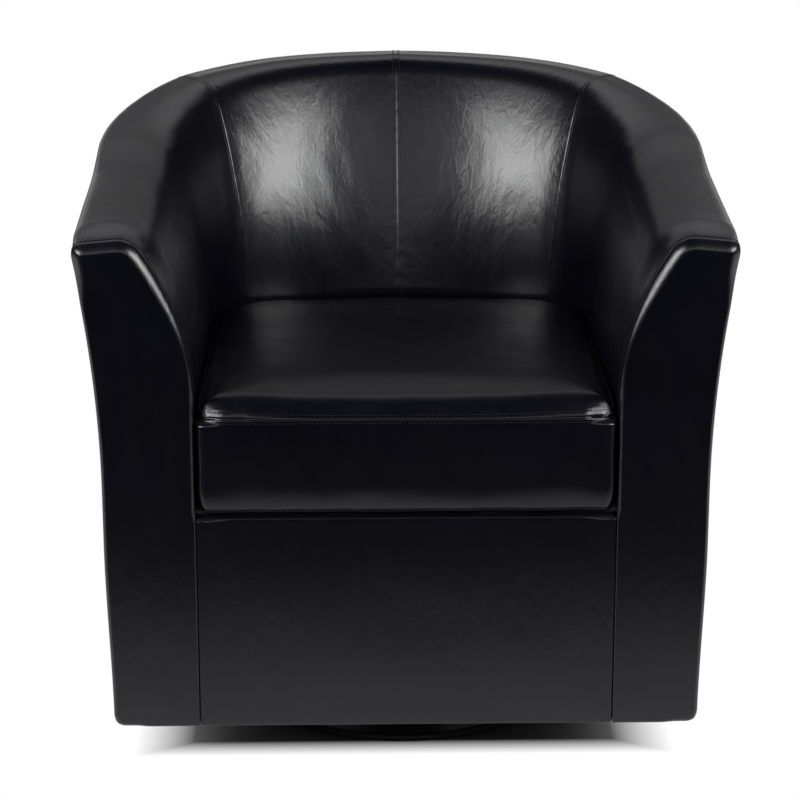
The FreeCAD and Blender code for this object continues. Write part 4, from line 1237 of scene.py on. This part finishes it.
def stage_floor():
    """A pale floor that keeps the chair's shadow, deepened by painted shade to the camera, and darkened by
    painted shade in front where lamplight falls off. It is white to the camera elsewhere, and clear from
    below.
    """
    corners = [(x * FLOOR_HALF, y * FLOOR_HALF, 0) for x, y in ((-1, -1), (1, -1), (1, 1), (-1, 1))]
    floor = mesh_object("floor", corners, [(0, 1, 2, 3)])
    made = bpy.data.materials.new("floor_painted_shade")
    tree = cleared_tree(made)
    spot = split(tree, add(tree, "TexCoord").outputs["Object"])
    to_camera = add(tree, "LightPath").outputs["Is Camera Ray"]
    outside = largest(
        tree,
        ranged(tree, absolute(tree, spot["X"]), 0.0, 1.0, *SHADOW_SIDE),
        ranged(tree, spot["Y"], 0.0, 1.0, *SHADOW_FRONT),
        ranged(tree, spot["Y"], 0.0, 1.0, *SHADOW_REAR),
    )
    # painted shade: the floor darkens towards the front, as the leather reflects it, in place of lamplight
    # falling off
    near = ranged(tree, spot["Y"], 0.0, 1.0, -1.0, -0.45)
    # painted shade: to the camera the floor near the chair is darkened, to deepen the shadow beneath it
    pale = product(tree, near, ranged(tree, to_camera, 1.0, 0.35))
    painted_shade_floor = add(tree, "BsdfDiffuse", Color=colour_ramp(tree, pale, FLOOR_PAINTED_SHADE, FLOOR_PALE))
    above = mixed(tree, product(tree, outside, to_camera), painted_shade_floor, add(tree, "Emission"))
    from_below = add(tree, "NewGeometry").outputs["Backfacing"]
    whole = mixed(tree, from_below, above, add(tree, "BsdfTransparent"))
    add(tree, "OutputMaterial", Surface=whole.outputs["Shader"])
    floor.data.materials.append(made)


def studio_world():
    """White to the camera; to the leather a pale wall behind the chair and a dim glow in front of it."""
    world = bpy.data.worlds.new("studio")
    scene.world = world
    tree = cleared_tree(world)
    way = split(tree, add(tree, "TexCoord").outputs["Generated"])
    wall = product(
        tree,
        ranged(tree, way["Y"], 0.0, 1.0, 0.32, 0.50),
        ranged(tree, way["Y"], 1.05, 0.15, 0.50, 0.88),
        ranged(tree, absolute(tree, way["X"]), 1.0, 0.03, 0.45, 0.62),
    )
    glow = product(
        tree,
        ranged(tree, way["Y"], 0.85, 0.0, -0.35, -0.05),
        ranged(tree, way["Z"], 0.0, 1.0, 0.34, 0.54),
        ranged(tree, way["Z"], 1.0, 0.01, 0.62, 0.80),
    )
    skyline = product(
        tree,
        ranged(tree, way["Z"], 0.44, 0.0, 0.15, 0.26),
        ranged(tree, way["Y"], 0.0, 1.0, 0.60, 0.90),
    )
    seen = largest(tree, wall, glow, skyline, add(tree, "LightPath").outputs["Is Camera Ray"])
    light = add(tree, "Background", Color=(1, 1, 1, 1), Strength=seen)
    add(tree, "OutputWorld", Surface=light.outputs["Background"])


def softbox(name, place, width, height, power, roll):
    """A rectangular lamp that aims at the seat."""
    lamp = bpy.data.lights.new(name, "AREA")
    lamp.shape = "RECTANGLE"
    lamp.size = width
    lamp.size_y = height
    lamp.energy = power
    obj = link(name, lamp)
    obj.location = place
    turn = (Vector(SEAT_SPOT) - place).to_track_quat("-Z", "Y") @ Quaternion((0, 0, 1), roll)
    obj.rotation_euler = turn.to_euler()


stage_floor()
studio_world()
for sign in (-1, 1):
    place = Vector((sign * LAMP_SPOT[0], LAMP_SPOT[1], LAMP_SPOT[2]))
    roll = sign * LAMP_ROLL
    softbox(f"softbox_{sign + 1}", place, 2.05, 1.15, 36.0, roll)
    softbox(f"softbox_core_{sign + 1}", place * CORE_NEARER, 1.05, 0.66, 13.5, roll)

camera = link("camera", bpy.data.cameras.new("camera"))
camera.data.sensor_width = 36.0
camera.data.lens = 118.5
camera.location = (-0.0628, -3.0721, 1.3121)
camera.rotation_euler = (math.radians(73.0), 0.0, math.radians(-1.15))
scene.camera = camera
scene.view_settings.view_transform = "Standard"
